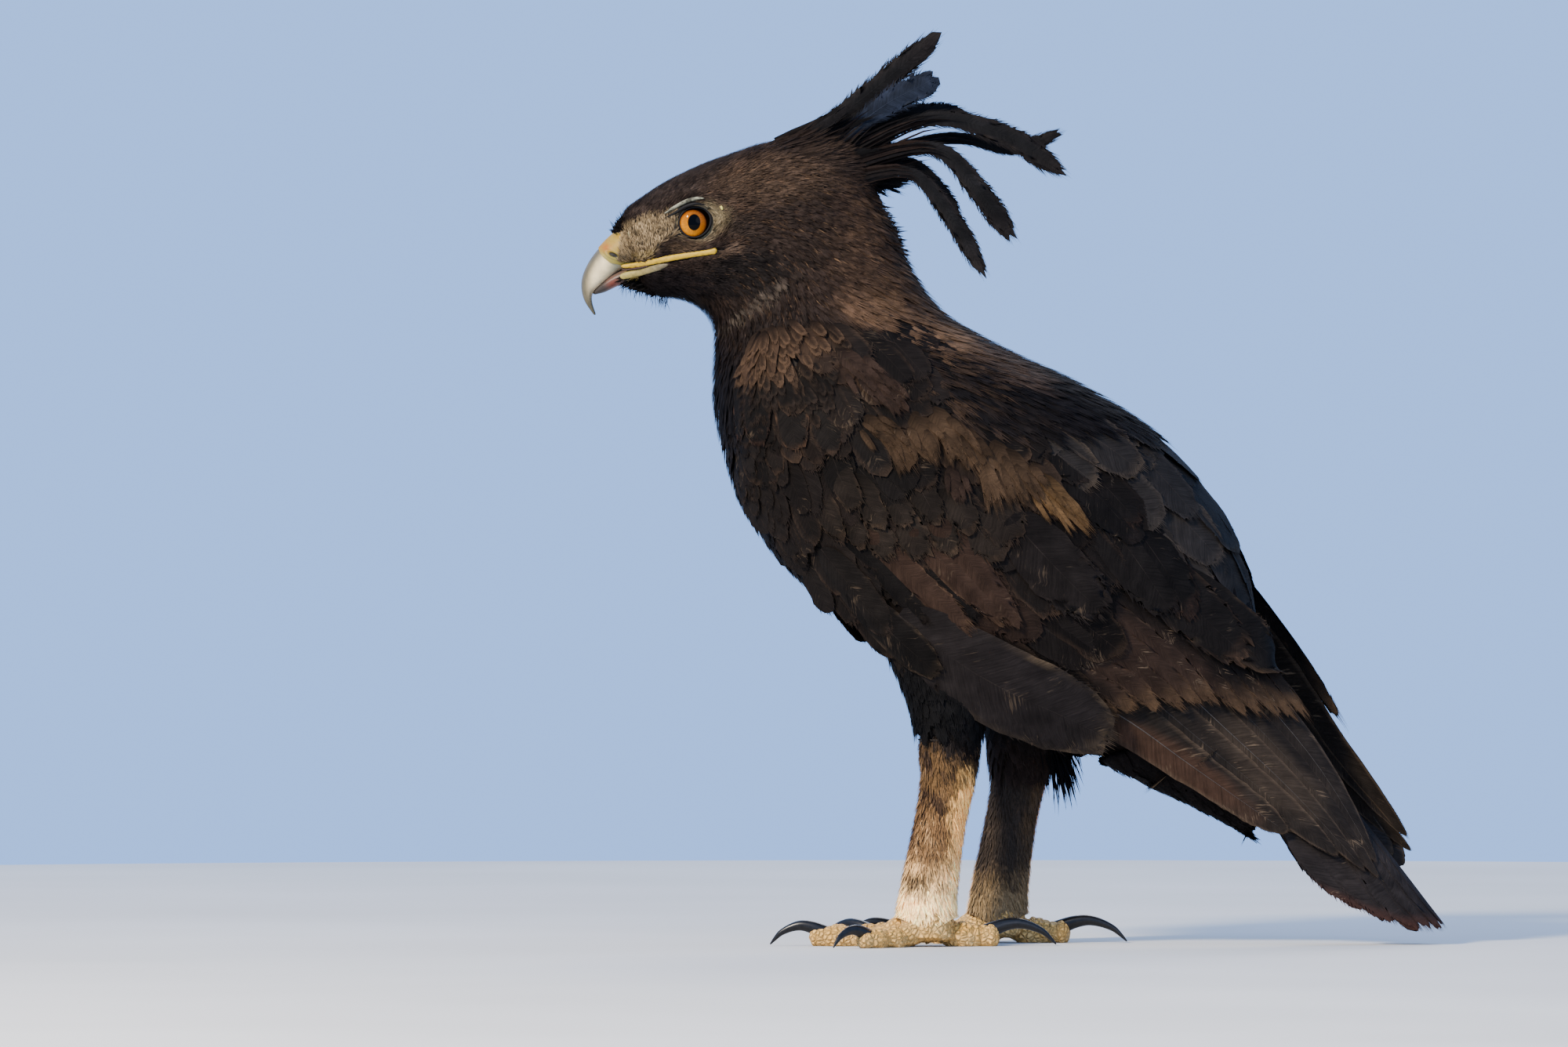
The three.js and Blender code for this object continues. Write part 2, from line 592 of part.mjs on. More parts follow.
for (const [side, word] of [[-1, "left"], [1, "right"]]) {
  const shankSolid = shank(side);
  const foot = cutBy(footWhole(side), shankSolid);
  const thigh = cutBy(thighWhole(side), bodyWhole, shankSolid, ...wingRooms, undertail);
  add(`eye_${word}`, eyeBall(side), COLOURS.iris, 0.1);
  add(`wing_${word}`, covertSheet(side), COLOURS.wing, 0.65);
  add(`primaries_${word}`, primarySheet(side), COLOURS.quills, 0.55);
  add(`thigh_${word}`, thigh, COLOURS.plumage);
  add(`shank_${word}`, shankSolid, COLOURS.shank);
  add(`foot_${word}`, foot, COLOURS.toes, 0.6);
  for (const [toeName, toe] of Object.entries(TOES)) {
    add(`claw_${toeName}_${word}`, cutBy(clawSolid(side, toe), foot), COLOURS.claw, 0.25);
  }
}

// The origin is under the middle of the bird, on the floor.
const bounds = new THREE.Box3().setFromObject(bird);
bird.position.set(-(bounds.min.x + bounds.max.x) / 2, -(bounds.min.y + bounds.max.y) / 2, -bounds.min.z);

export default bird;
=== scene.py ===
"""A long-crested eagle as a life-size still model: skin, feathers, face and feet over the solid bird.

Shapes are worked out in millimetres in the solid bird's own frame: it looks along -X, its left side is -Y.
"""

import bpy
import numpy as np
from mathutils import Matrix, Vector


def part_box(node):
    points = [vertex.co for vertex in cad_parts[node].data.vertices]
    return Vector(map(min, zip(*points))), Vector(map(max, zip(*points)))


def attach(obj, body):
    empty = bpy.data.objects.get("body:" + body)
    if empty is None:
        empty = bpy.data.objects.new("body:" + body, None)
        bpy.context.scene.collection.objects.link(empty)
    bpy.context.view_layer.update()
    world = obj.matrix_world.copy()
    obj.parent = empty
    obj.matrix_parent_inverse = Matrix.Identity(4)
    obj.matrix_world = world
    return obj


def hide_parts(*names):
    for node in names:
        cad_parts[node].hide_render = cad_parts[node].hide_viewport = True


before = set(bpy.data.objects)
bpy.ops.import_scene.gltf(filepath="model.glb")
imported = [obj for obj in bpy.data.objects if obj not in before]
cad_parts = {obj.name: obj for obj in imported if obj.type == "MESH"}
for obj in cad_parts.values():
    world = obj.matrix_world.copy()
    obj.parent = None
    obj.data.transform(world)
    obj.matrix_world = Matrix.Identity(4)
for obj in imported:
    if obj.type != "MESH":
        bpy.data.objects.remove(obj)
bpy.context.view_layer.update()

MM = 0.001
# An eyeball's radius and middle, the radius of the hollow it lies in, and that of the bare skin round it.
EYE = {"radius": 10.2, "x": -146.9, "y": 14.6, "z": 331.1, "dish": 15.5, "bare": 8.4}
eye_low, eye_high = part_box("eye_left")
SHIFT = np.array([(eye_low[0] + eye_high[0]) / 2 / MM - EYE["x"], 0.0, 0.0])
rng = np.random.default_rng(7)


# ---- Small maths ----
def unit(v):
    """v over its own length."""
    return v / np.maximum(np.linalg.norm(v, axis=-1, keepdims=True), 1e-9)


def in_surface(way, normal):
    """The way less its share along the normal, brought to length 1."""
    return unit(way - normal * np.sum(way * normal, -1, keepdims=True))


def ease(low, high, x):
    """0 at low, 1 at high, and 3t^2 - 2t^3 between them; low may be the greater of the two."""
    t = np.clip((x - low) / (high - low), 0, 1)
    return t * t * (3 - 2 * t)


def mix(a, b, t):
    """a + (b - a) t: all a at 0 and all b at 1."""
    return a + (b - a) * t


def oval(x, z, wide, high, tilt):
    """How far x, z lies from a tilted ellipse's middle, where its rim lies at 1."""
    c, s = np.cos(np.radians(tilt)), np.sin(np.radians(tilt))
    return np.hypot((x * c + z * s) / wide, (z * c - x * s) / high)


def curve(points, t):
    """Uniform Catmull-Rom curve through the rows of points, at shares t of its length."""
    p = np.asarray(points, float)
    p = np.vstack([2 * p[0] - p[1], p, 2 * p[-1] - p[-2]])
    spans = len(p) - 3
    s = np.clip(t, 0, 1) * spans
    i = np.minimum(s.astype(int), spans - 1)
    f = (s - i)[..., None]
    a, b, c, d = p[i], p[i + 1], p[i + 2], p[i + 3]
    return b + 0.5 * f * ((c - a) + f * (2 * a - 5 * b + 4 * c - d + f * (3 * (b - c) + d - a)))


def noise(points, size, seed=0):
    """Soft noise from -1 to 1: random values at the corners of cubes of that size, eased between them."""
    q = np.asarray(points, float) / size + 1000.0
    cell = np.floor(q).astype(np.int64)
    f = q - cell
    f = f * f * (3 - 2 * f)
    total = 0.0
    for corner in np.ndindex(2, 2, 2):
        i = cell + np.array(corner)
        h = i[..., 0] * 374761393 + i[..., 1] * 668265263 + i[..., 2] * 2147483647 + seed * 974711
        h = h & 0x7FFFFFFF
        h = ((h ^ (h >> 13)) * 1274126177) & 0x7FFFFFFF
        h = (h ^ (h >> 16)) & 0xFFFF
        w = np.prod(np.where(np.array(corner) == 1, f, 1 - f), axis=-1)
        total = total + w * (h / 32767.5 - 1)
    return total


def shade(red, green, blue):
    """A colour given as seen on a screen, 0 to 255, as linear light."""
    c = np.array([red, green, blue], float) / 255
    return np.where(c <= 0.04045, c / 12.92, ((c + 0.055) / 1.055) ** 2.4)


# ---- The solid bird's shape ----
SQUARE = 2.3
# Each station: upper point x, z, lower point x, z, half width.
BODY = [
    [-185.5, 333, -175, 302, 11.5],
    [-174, 341.5, -163.5, 297.5, 18],
    [-156.5, 352.5, -152.5, 295.5, 23.5],
    [-133, 362.5, -144.5, 291.5, 27.5],
    [-106, 369.5, -140.5, 286.5, 31],
    [-75, 359, -138.5, 281, 33.5],
    [-59, 334, -138, 272, 36],
    [-51, 314, -138.5, 259, 41],
    [-33, 290.5, -137.5, 243, 50],
    [-2, 272.5, -132.5, 221.5, 58],
    [31, 257, -123.5, 197.5, 61],
    [67, 233.5, -102, 170, 59],
    [93, 201.5, -74.5, 148, 52],
    [108, 169, -30, 110, 42],
    [110, 137, 24, 92, 28],
    [112, 108, 64, 80, 17],
]
# Each station of a folded wing: lower edge x, z, upper edge x, z, how far out each edge lies, the swell
# between them, and how much higher the right wing is.
WING = [
    [-130, 222, -123, 274, 22, 35, 8, 0],
    [-121, 204, -110, 287, 26, 39.5, 17, 0],
    [-90, 167, -64, 283, 32, 46.5, 22, 1],
    [-48, 130, -5, 246, 34, 52.5, 20, 5],
    [-7, 101, 42, 213, 28, 49, 17, 10],
    [35, 89.5, 83, 175, 27, 34, 12, 15],
    [72, 71, 117, 132, 27, 19, 7, 15.5],
    [110, 51, 149, 88, 26, 11, 4, 12],
    [158, 27, 174, 34, 23, 12, 0, 20],
]
HIGHER = np.array([0.8, 0, 0.6])
SECONDARIES = {"thick": 9, "thin": 2.4}
PRIMARIES = {"root": 0.56, "tips": [0.9, 0.955, 0.985, 1, 0.985]}
UPPER_BILL = [
    [-176, 329, -172, 311.5, 10.5],
    [-184, 325.5, -180, 309.6, 9],
    [-190.5, 320, -185.2, 306.2, 7.6],
    [-196, 312.5, -189.5, 302.8, 6],
    [-198.8, 304.5, -193.4, 299.2, 4.2],
    [-197.8, 296.5, -193.8, 294.8, 2.3],
    [-193.2, 289, -192, 289, 0.7],
]
LOWER_BILL = [
    [-168, 311.5, -165, 306, 8.2],
    [-176, 311, -174, 304.8, 7.4],
    [-183.2, 308.8, -181.5, 302.6, 5.8],
    [-188.6, 305.2, -188, 299.6, 4.2],
    [-193.4, 300.4, -193.6, 298.2, 1.8],
]
GAPE = {"from": (-178, 311.2), "to": (-137.5, 318.0)}
NOSTRIL = (-184.6, 317.4)
# Each crest feather: its line as x, z points, its place across the head and its half width.
CREST = [
    ([[-104, 367], [-86, 377], [-66, 391.5], [-37.5, 415.5]], 1.4, 5.6),
    ([[-84, 366], [-60, 385], [-37, 397]], -5.2, 6.6),
    ([[-84, 362], [-54, 380.5], [-24, 382.5]], 4.6, 4.6),
    ([[-80, 360], [-40, 379], [-4, 371.5], [21, 355]], -1.9, 5.4),
    ([[-80, 357], [-34, 371], [0, 366], [20.5, 373]], 8, 3.6),
    ([[-78, 356], [-38, 365.5], [-17, 346.5], [-1.5, 324.5]], -8.6, 5.4),
    ([[-76, 350], [-48, 354], [-29, 333.5], [-15, 309]], -11.8, 4.6),
    ([[-78, 352], [-50, 360], [-33, 345], [-26, 330]], 11.4, 4.2),
]
THIGH = [
    [-70, 160, -4, 150, 17],
    [-60, 136, -4, 130, 16.5],
    [-53, 120, -9, 116, 16],
    [-48, 106, -13, 104, 15],
    [-46, 91, -15, 91, 14.3],
]
SHANK = [
    [-41, 102, -19, 102, 10.5],
    [-44, 92, -16.5, 92, 12.8],
    [-43.2, 77, -18.3, 77, 12],
    [-45.6, 60, -22.3, 60, 11.2],
    [-49, 43, -25, 43, 10.8],
    [-52.4, 27, -26.8, 27, 11],
    [-54, 15, -27.6, 15, 11.2],
    [-55, 3, -27.8, 3, 11.4],
]
HALF_STANCE, RIGHT_BACK = 29, 33.5
ANKLE = (-40, 10.5)
SIDES = ((-1, "left"), (1, "right"))
# Each toe: its turn from straight ahead in degrees, its length, radius, joints and claw length.
TOES = {
    "middle": (6, 55, 5.4, 4, 21),
    "inner": (33, 37, 5.6, 3, 23),
    "outer": (-42, 43, 4.9, 4, 18),
    "hind": (172, 33, 6, 2, 27),
}
TAIL = {"root": (66, 168), "length": 209, "dip": -50.6, "half": 21, "quill": 8, "roof": 35, "stagger": 52}
UNDERTAIL = [
    [84, 112, 34, 86, 22],
    [98, 92, 54, 76, 19],
    [108, 74, 76, 66, 13],
    [112, 59, 98, 55, 6],
    [108, 51, 105, 51, 1.5],
]


def rounded(t, end):
    """An ellipse's rise from 0 at the end to 1 a share `end` further on."""
    return np.sqrt(np.maximum(0, 1 - np.maximum(0, 1 - t / end) ** 2))


def crowded(share):
    """Even shares drawn together at both ends: share - 0.45 sin(2 pi share) / (2 pi)."""
    return share - 0.45 * np.sin(2 * np.pi * share) / (2 * np.pi)


def loft(stations, nose, tail, square=SQUARE, across=0.0, back=0.0):
    """A closed body through stations, each ring a superellipse.

    Two curves run through the upper and the lower points. A ring's middle is halfway between them; its height is
    their gap and its half width is the stations', both rounded off at the nose and the tail.
    """
    s = np.asarray(stations, float)
    top = np.stack([s[:, 0] + back, s[:, 4], s[:, 1]], 1)
    under = np.stack([s[:, 2] + back, 0 * s[:, 4], s[:, 3]], 1)

    def power(v):
        return np.sign(v) * np.abs(v) ** (2 / square)

    def place(p, q):
        t = crowded(p)
        a, b = curve(top, t), curve(under, t)
        size = rounded(t, nose) * rounded(1 - t, tail)
        point = (a + b) / 2 + (a - b) * (power(np.cos(2 * np.pi * q)) * size / 2)[..., None]
        point[..., 1] = across + a[..., 1] * power(np.sin(2 * np.pi * q)) * size
        return point

    return place


whole_body = loft(BODY, 0.05, 0.05)
BROW_LINE = np.array([[-166, 338.5], [-153, 344.5], [-138, 343.5]])
BROW = {"height": 1.9, "width": 3.2}
# The hollow round an eye: how far out from the eye's middle its rim lies, and how deep it goes from there.
HOLLOW = {"rim": 15.6, "depth": 9}


def body_place(p, q):
    """The body with a hollow round each eye, an ellipsoid's inner wall, and a ridge over it, a soft bump."""
    point = whole_body(p, q)
    x, y, z = point[..., 0], np.abs(point[..., 1]), point[..., 2]
    inside = 1 - ((x - EYE["x"]) / EYE["dish"]) ** 2 - ((z - EYE["z"] + 1) / (EYE["dish"] * 0.8)) ** 2
    wall = EYE["y"] + HOLLOW["rim"] - HOLLOW["depth"] * np.sqrt(np.maximum(inside, 0))
    hollow = np.where(inside > 0, np.minimum(y, wall), y)
    line = curve(BROW_LINE, np.linspace(0, 1, 20))
    gap = np.min(np.hypot(x[..., None] - line[:, 0], z[..., None] - line[:, 1]), axis=-1)
    hollow = hollow + BROW["height"] * np.exp(-((gap / BROW["width"]) ** 2)) * (y > 8)
    point[..., 1] = np.sign(point[..., 1]) * hollow
    return point


wing_rows = np.asarray(WING, float)
wing_under = np.stack([wing_rows[:, 0], wing_rows[:, 4], wing_rows[:, 1]], 1)
wing_top = np.stack([wing_rows[:, 2], wing_rows[:, 5], wing_rows[:, 3]], 1)

# How far the wing's lower edge stands out over the thigh.
OVER_THIGH = 13


def wing_place(side):
    """A wing's outer surface: between its lower and upper edge, pushed out by swell * 4v(1 - v).

    Its lower edge swells out a little more over the thigh, as a soft bump, so that it lies on top of it.
    """

    def place(u, v):
        low, high = curve(wing_under, u), curve(wing_top, u)
        more = curve(wing_rows[:, 6:8], u)
        point = low + (high - low) * v[..., None]
        over = OVER_THIGH * np.exp(-(((u - 0.44) / 0.15) ** 2)) * (1 - v) ** 2
        point[..., 1] = side * (point[..., 1] + more[..., 0] * 4 * v * (1 - v) + over)
        if side > 0:
            point = point + HIGHER * more[..., 1:2]
        return point

    return place


# The saddle runs over shares 0.39 to 1.01 of the trunk, from a share of the wing's height up to its edge, and
# passes the flank at a share round the trunk.
SADDLE = {"from": 0.39, "along": 0.62, "up_wing": 0.62, "flank": 0.085}


def mantle_place(side):
    """The saddle from a wing's upper half over the shoulder to the spine, as a cubic arch of four lines."""
    wing_at, share = wing_place(side), np.linspace(0, 1, 400)

    def place(u, v):
        p = np.interp(SADDLE["from"] + SADDLE["along"] * u, crowded(share), share)
        near, edge = wing_at(u, SADDLE["up_wing"] + 0 * v), wing_at(u, 1.0 + 0 * v)
        flank, spine = whole_body(p, (side * SADDLE["flank"]) % 1 + 0 * v), whole_body(p, 0 * v)
        a, b, c, d = (1 - v) ** 3, 3 * v * (1 - v) ** 2, 3 * v * v * (1 - v), v**3
        lines = (near, edge + [0, side * 4.0, 4.0], flank + [0, side * 4.0, 5.0], spine + [0, 0, 0.6])
        return sum(line * w[..., None] for line, w in zip(lines, (a, b, c, d)))

    return place


def tail_place(u, v):
    """The tail's roof: along * reach * u, dropped by roof * a^2 to the sides, with a = 2v - 1 across."""
    dip = np.radians(TAIL["dip"])
    along, over = np.array([np.cos(dip), 0, np.sin(dip)]), np.array([-np.sin(dip), 0, np.cos(dip)])
    a = 2 * v - 1
    reach = TAIL["length"] - TAIL["stagger"] * np.abs(a) ** 3.2
    rise = -TAIL["roof"] * a * a * mix(0.6, 1, u) + 2.5 * np.sin(np.pi * u)
    wide = a * mix(TAIL["quill"], TAIL["half"], np.minimum(1, u * 1.6))
    root = np.array([TAIL["root"][0], 0, TAIL["root"][1]])
    lateral = np.array([0, 1.0, 0])
    return root + along * (reach * u)[..., None] + over * rise[..., None] + lateral * wide[..., None]


# ---- Forms: surfaces sampled once, so that thousands of feathers can be laid on them ----
class Form:
    """A surface as a grid of points, its two slopes and its normal, with straight lookup between samples."""

    def __init__(self, place, rows, columns, closed=False, facing=None):
        p, q = np.meshgrid(np.linspace(0, 1, rows), np.linspace(0, 1, columns), indexing="ij")
        point = place(p, q)
        down = np.gradient(point, 1 / (rows - 1), axis=0)
        across = np.gradient(point, 1 / (columns - 1), axis=1)
        if closed:
            across[:, 0] = across[:, -1] = (point[:, 1] - point[:, -2]) * (columns - 1) / 2
        normal = unit(np.cross(down, across))
        outwards = point - point.mean(axis=1, keepdims=True) if facing is None else np.asarray(facing, float)
        self.turned = 1.0 if np.sum(normal * outwards) > 0 else -1.0
        self.fields = np.concatenate([point, down, across, normal * self.turned], -1)
        self.closed = closed
        self.rows, self.columns = rows, columns
        self.area = np.linalg.norm(np.cross(down, across), axis=-1) / ((rows - 1) * (columns - 1))

    def at(self, p, q):
        """Point, slope down, slope across and normal at p, q."""
        q = q % 1.0 if self.closed else np.clip(q, 0, 1)
        i, j = np.clip(p, 0, 1) * (self.rows - 1), q * (self.columns - 1)
        i0, j0 = np.minimum(i.astype(int), self.rows - 2), np.minimum(j.astype(int), self.columns - 2)
        fi, fj = (i - i0)[..., None], (j - j0)[..., None]
        g = self.fields
        low = g[i0, j0] * (1 - fi) + g[i0 + 1, j0] * fi
        high = g[i0, j0 + 1] * (1 - fi) + g[i0 + 1, j0 + 1] * fi
        f = low * (1 - fj) + high * fj
        return f[..., 0:3], f[..., 3:6], f[..., 6:9], unit(f[..., 9:12])


def scatter(form, spacing, p_range=(0, 1), q_range=(0, 1), keep=None, dense=7):
    """Roots spread evenly: many random points by area, then one kept in each little cube of that spacing."""
    i = np.arange(form.rows - 1)[:, None]
    j = np.arange(form.columns - 1)[None, :]
    p_mid, q_mid = (i + 0.5) / (form.rows - 1), (j + 0.5) / (form.columns - 1)
    inside = (p_mid >= p_range[0]) & (p_mid < p_range[1]) & (q_mid >= q_range[0]) & (q_mid < q_range[1])
    weight = np.where(inside, form.area[:-1, :-1], 0).ravel()
    least = spacing if np.isscalar(spacing) else spacing(form.fields[..., 0:3]).min()
    count = int(dense * weight.sum() / least**2)
    cell = np.searchsorted(np.cumsum(weight), rng.random(count) * weight.sum())
    cell = np.minimum(cell, weight.size - 1)
    p = (cell // (form.columns - 1) + rng.random(count)) / (form.rows - 1)
    q = (cell % (form.columns - 1) + rng.random(count)) / (form.columns - 1)
    point = form.at(p, q)[0]
    step = np.full(count, float(spacing)) if np.isscalar(spacing) else spacing(point)
    level = np.round(np.log(step) / np.log(1.12))
    cube = np.floor(point / (1.12**level)[:, None] + 5000).astype(np.int64)
    key = ((level.astype(np.int64) + 50) << 48) + (cube[:, 0] << 32) + (cube[:, 1] << 16) + cube[:, 2]
    kept = np.sort(np.unique(key, return_index=True)[1])
    p, q, point = p[kept], q[kept], point[kept]
    if keep is not None:
        good = keep(point)
        p, q = p[good], q[good]
    return p, q


def nearest(form, x, z, side=0):
    """The p, q of the form's sample closest to each place in the side view, on the given side of the bird."""
    point = form.fields[::2, ::2, 0:3]
    wrong = 0 if side == 0 else np.where(point[..., 1] * side < 0, 1000.0, 0.0)
    found = []
    for a, b in zip(np.atleast_1d(x), np.atleast_1d(z)):
        gap = np.hypot(point[..., 0] - a, point[..., 2] - b) + wrong
        found.append(np.unravel_index(gap.argmin(), gap.shape))
    i, j = np.array(found, float).T
    return i * 2 / (form.rows - 1), j * 2 / (form.columns - 1)


class Lines:
    """The middle lines of many feathers: points, ways, sides and normals at even shares of their lengths."""

    def __init__(self, point, way, normal, length, p, q):
        self.point, self.way = point, way
        self.face(normal)
        self.length = np.broadcast_to(np.asarray(length, float), (len(point),))
        self.p, self.q = p, q

    def face(self, normal):
        """Turns the feathers' faces to the normal."""
        self.normal = normal
        self.side = unit(np.cross(normal, self.way))

    def at(self, share):
        spans = self.point.shape[1] - 1
        s = share * spans
        i = np.clip(s.astype(int), 0, spans - 1)
        f = (s - i)[..., None]
        one = np.arange(len(self.point))[:, None]

        def between(a):
            return a[one, i] * (1 - f) + a[one, i + 1] * f

        return between(self.point), between(self.way), between(self.side), between(self.normal)


def walk(form, p, q, heading, length, steps=4, bend=0.0):
    """Lines from roots p, q over the form: each step goes length / steps ahead, kept in the surface.

    The step is turned into changes of p and q through the two slopes' products, e, f and g. Past the form's rim
    it goes straight on.
    """
    p, q = np.array(p, float), np.array(q, float)
    length = np.broadcast_to(np.asarray(length, float), p.shape)
    bend = np.broadcast_to(np.asarray(bend, float), p.shape)
    point, down, across, normal = form.at(p, q)
    way = in_surface(heading, normal)
    points, ways, normals = [point], [way], [normal]
    pace = length / steps
    roots = (p.copy(), q.copy())
    for _ in range(steps):
        ahead = point + way * pace[:, None]
        e, f, g = (np.sum(a * b, -1) for a, b in ((down, down), (down, across), (across, across)))
        a, b = np.sum(way * down, -1), np.sum(way * across, -1)
        det = np.maximum(e * g - f * f, 1e-9)
        new_p = p + (a * g - b * f) / det * pace
        new_q = q + (b * e - a * f) / det * pace
        out = (new_p < 0) | (new_p > 1)
        if not form.closed:
            out = out | (new_q < 0) | (new_q > 1)
        p, q = np.where(out, p, new_p), np.where(out, q, new_q)
        there, down, across, fresh = form.at(p, q)
        point = np.where(out[:, None], ahead, there)
        normal = np.where(out[:, None], normal, fresh)
        turned = way + unit(np.cross(normal, way)) * (bend / steps)[:, None]
        way = in_surface(turned, normal)
        points.append(point)
        ways.append(way)
        normals.append(normal)
    return Lines(*(np.stack(a, 1) for a in (points, ways, normals)), length, *roots)


# ---- Feather patterns: one feather's mesh as shares along and across it ----
class Pattern:
    """A feather's points by share along, place across, nearness to the rim and height, and its triangles."""

    def __init__(self, share, across, rim, lift, triangles):
        fields = (share, across, rim, lift)
        self.share, self.across, self.rim, self.lift = (np.asarray(field, float) for field in fields)
        self.triangles = np.asarray(triangles, int)


def together(*patterns):
    """Several patterns as one."""
    start, triangles = 0, []
    for one in patterns:
        triangles.append(one.triangles + start)
        start += len(one.share)
    fields = [np.concatenate([getattr(o, k) for o in patterns]) for k in ("share", "across", "rim", "lift")]
    return Pattern(*fields, np.concatenate(triangles))


def broad(s):
    """A body feather's half width: it widens as an ellipse to 0.6 of its length and closes as a rounder one."""
    rise = 0.22 + 0.78 * np.sqrt(np.maximum(0, 1 - ((0.6 - np.minimum(s, 0.6)) / 0.6) ** 2))
    return np.where(s < 0.6, rise, np.sqrt(np.maximum(0, 1 - ((s - 0.6) / 0.41) ** 2.2)))


def lance(s):
    """A pointed neck feather's half width."""
    return 0.15 + 0.85 * np.sin(np.pi * np.minimum(1, s * 0.93 + 0.07) ** 0.8) ** 0.9


def quill_vane(s):
    """A long flight feather: narrow at its quill, even along its length and round at its end."""
    end = np.sqrt(np.maximum(0.0, 1 - np.maximum(0, (s - 0.86) / 0.14) ** 2.2))
    return end * mix(0.3, 1, np.minimum(1, s / 0.3) ** 0.7)


def leaf(rows, columns, profile, crowd=1.4):
    """A vane of rows along its shaft and columns across, with one vertex at the tip."""
    s = 1 - (1 - np.arange(rows) / rows) ** crowd
    a = np.linspace(-1, 1, columns)
    grid_s, grid_a = np.meshgrid(s, a, indexing="ij")
    share = np.append(grid_s.ravel(), 1.0)
    across = np.append((grid_a * profile(grid_s)).ravel(), 0.0)
    rim = np.append(np.abs(grid_a).ravel(), 1.0)
    r, c = np.meshgrid(np.arange(rows - 1), np.arange(columns - 1), indexing="ij")
    i = (r * columns + c).ravel()
    last = (rows - 1) * columns + np.arange(columns - 1)
    tip = np.full(columns - 1, rows * columns)
    triangles = np.concatenate(
        [
            np.stack([i, i + columns, i + columns + 1], 1),
            np.stack([i, i + columns + 1, i + 1], 1),
            np.stack([last, tip, last + 1], 1),
        ]
    )
    return Pattern(share, across, rim, np.zeros(len(share)), triangles)


def fringe(count, reach=0.1, start=0.6, spread=85):
    """Loose barb ends round a vane's tip: thin triangles from inside its rim to a little beyond it."""
    angle = np.radians(np.linspace(-spread, spread, count))
    s = start + (1 - start) * np.cos(angle)
    a = np.sin(angle) * np.maximum(0, 1 - ((s - start) / (1 - start)) ** 2.2) ** 0.02
    half = np.radians(spread) / count * 1.1
    left_a, right_a = np.sin(angle - half) * 0.93, np.sin(angle + half) * 0.93
    base_s = s - reach * 0.9
    share = np.stack([base_s, base_s, s + reach * (0.4 + 0.6 * np.cos(angle))], 1).ravel()
    across = np.stack([left_a, right_a, a * 1.06], 1).ravel()
    triangles = np.arange(3 * count).reshape(-1, 3)[:, [0, 2, 1]]
    return Pattern(share, across, np.tile([0.7, 0.7, 1.0], count), np.full(3 * count, 0.06), triangles)


def strand():
    """A hair-like barb: two edges that meet at its tip."""
    return leaf(2, 2, lambda s: 0.75 + 0.25 * np.sin(np.pi * s), crowd=1.0)


def barbed(count, lean=0.16, wide=1.25):
    """A loose vane: on each side of the shaft, barbs lean towards the tip and end in points at the rim."""
    s = np.linspace(0.03, 0.93, count)
    step = (s[1] - s[0]) * wide
    parts = []
    for hand in (-1, 1):
        reach = quill_vane(np.minimum(1, s + lean * 0.6))
        out = np.stack([s, s + step, s + lean + step, s + lean * 0.5, s + lean * 0.5 + step], 1)
        lean_a = np.stack([0 * s, 0 * s, reach, reach * 0.55, reach * 0.55], 1) * hand
        rim = np.broadcast_to([0.0, 0.0, 1.0, 0.55, 0.55], out.shape)
        base = np.arange(count)[:, None] * 5
        faces = np.array([[0, 1, 4], [0, 4, 3], [3, 4, 2]])
        if hand < 0:
            faces = faces[:, ::-1]
        triangles = (base[:, :, None] + faces[None]).reshape(-1, 3)
        flat = 0 * out.ravel()
        parts.append(Pattern(np.minimum(out, 1.0).ravel(), lean_a.ravel(), rim.ravel(), flat, triangles))
    return together(*parts)


def shaft(rows, width=0.045, lift=0.25):
    """A feather's shaft: a low ridge from root to tip."""
    s = np.linspace(0, 0.97, rows)
    thin = width * (1 - 0.8 * s)
    share = np.repeat(s, 3)
    across = np.stack([-thin, 0 * s, thin], 1).ravel()
    high = np.stack([0 * s, lift * (1 - 0.7 * s), 0 * s], 1).ravel()
    i = (np.arange(rows - 1)[:, None] * 3 + np.arange(2)).ravel()
    triangles = np.concatenate([np.stack([i, i + 3, i + 4], 1), np.stack([i, i + 4, i + 1], 1)])
    return Pattern(share, across, np.full(len(share), -1.0), high + 0.03, triangles)


def doubled(pattern, thick):
    """The same vane with a second, lower face, so that both its sides are solid."""
    lift, triangles = pattern.lift - thick, pattern.triangles[:, ::-1]
    return together(pattern, Pattern(pattern.share, pattern.across, pattern.rim, lift, triangles))


def lay(lines, pattern, half, low, high, camber=0.3, ragged=0.0):
    """A pattern on each line: half * across sideways, and up by low to high along it less camber * across^2.

    Ragged feathers have the points near their rims moved a little at random.
    """
    count = len(lines.point)
    share = np.broadcast_to(pattern.share, (count, len(pattern.share))).copy()
    across = np.broadcast_to(pattern.across, share.shape).copy()
    if ragged:
        loose = np.clip(pattern.rim, 0, 1) ** 2 * ease(0.3, 0.7, pattern.share)
        share = share + ragged * loose * (rng.random(share.shape) - 0.5) * 0.35
        across = across * (1 - ragged * loose * rng.random(share.shape) * 0.5)
    point, _, side, normal = lines.at(share)
    half, low, high, camber = (
        np.broadcast_to(np.asarray(x, float), (count,))[:, None] for x in (half, low, high, camber)
    )
    up = low + (high - low) * share - camber * across**2 + pattern.lift
    return point + side * (half * across)[..., None] + normal * up[..., None]


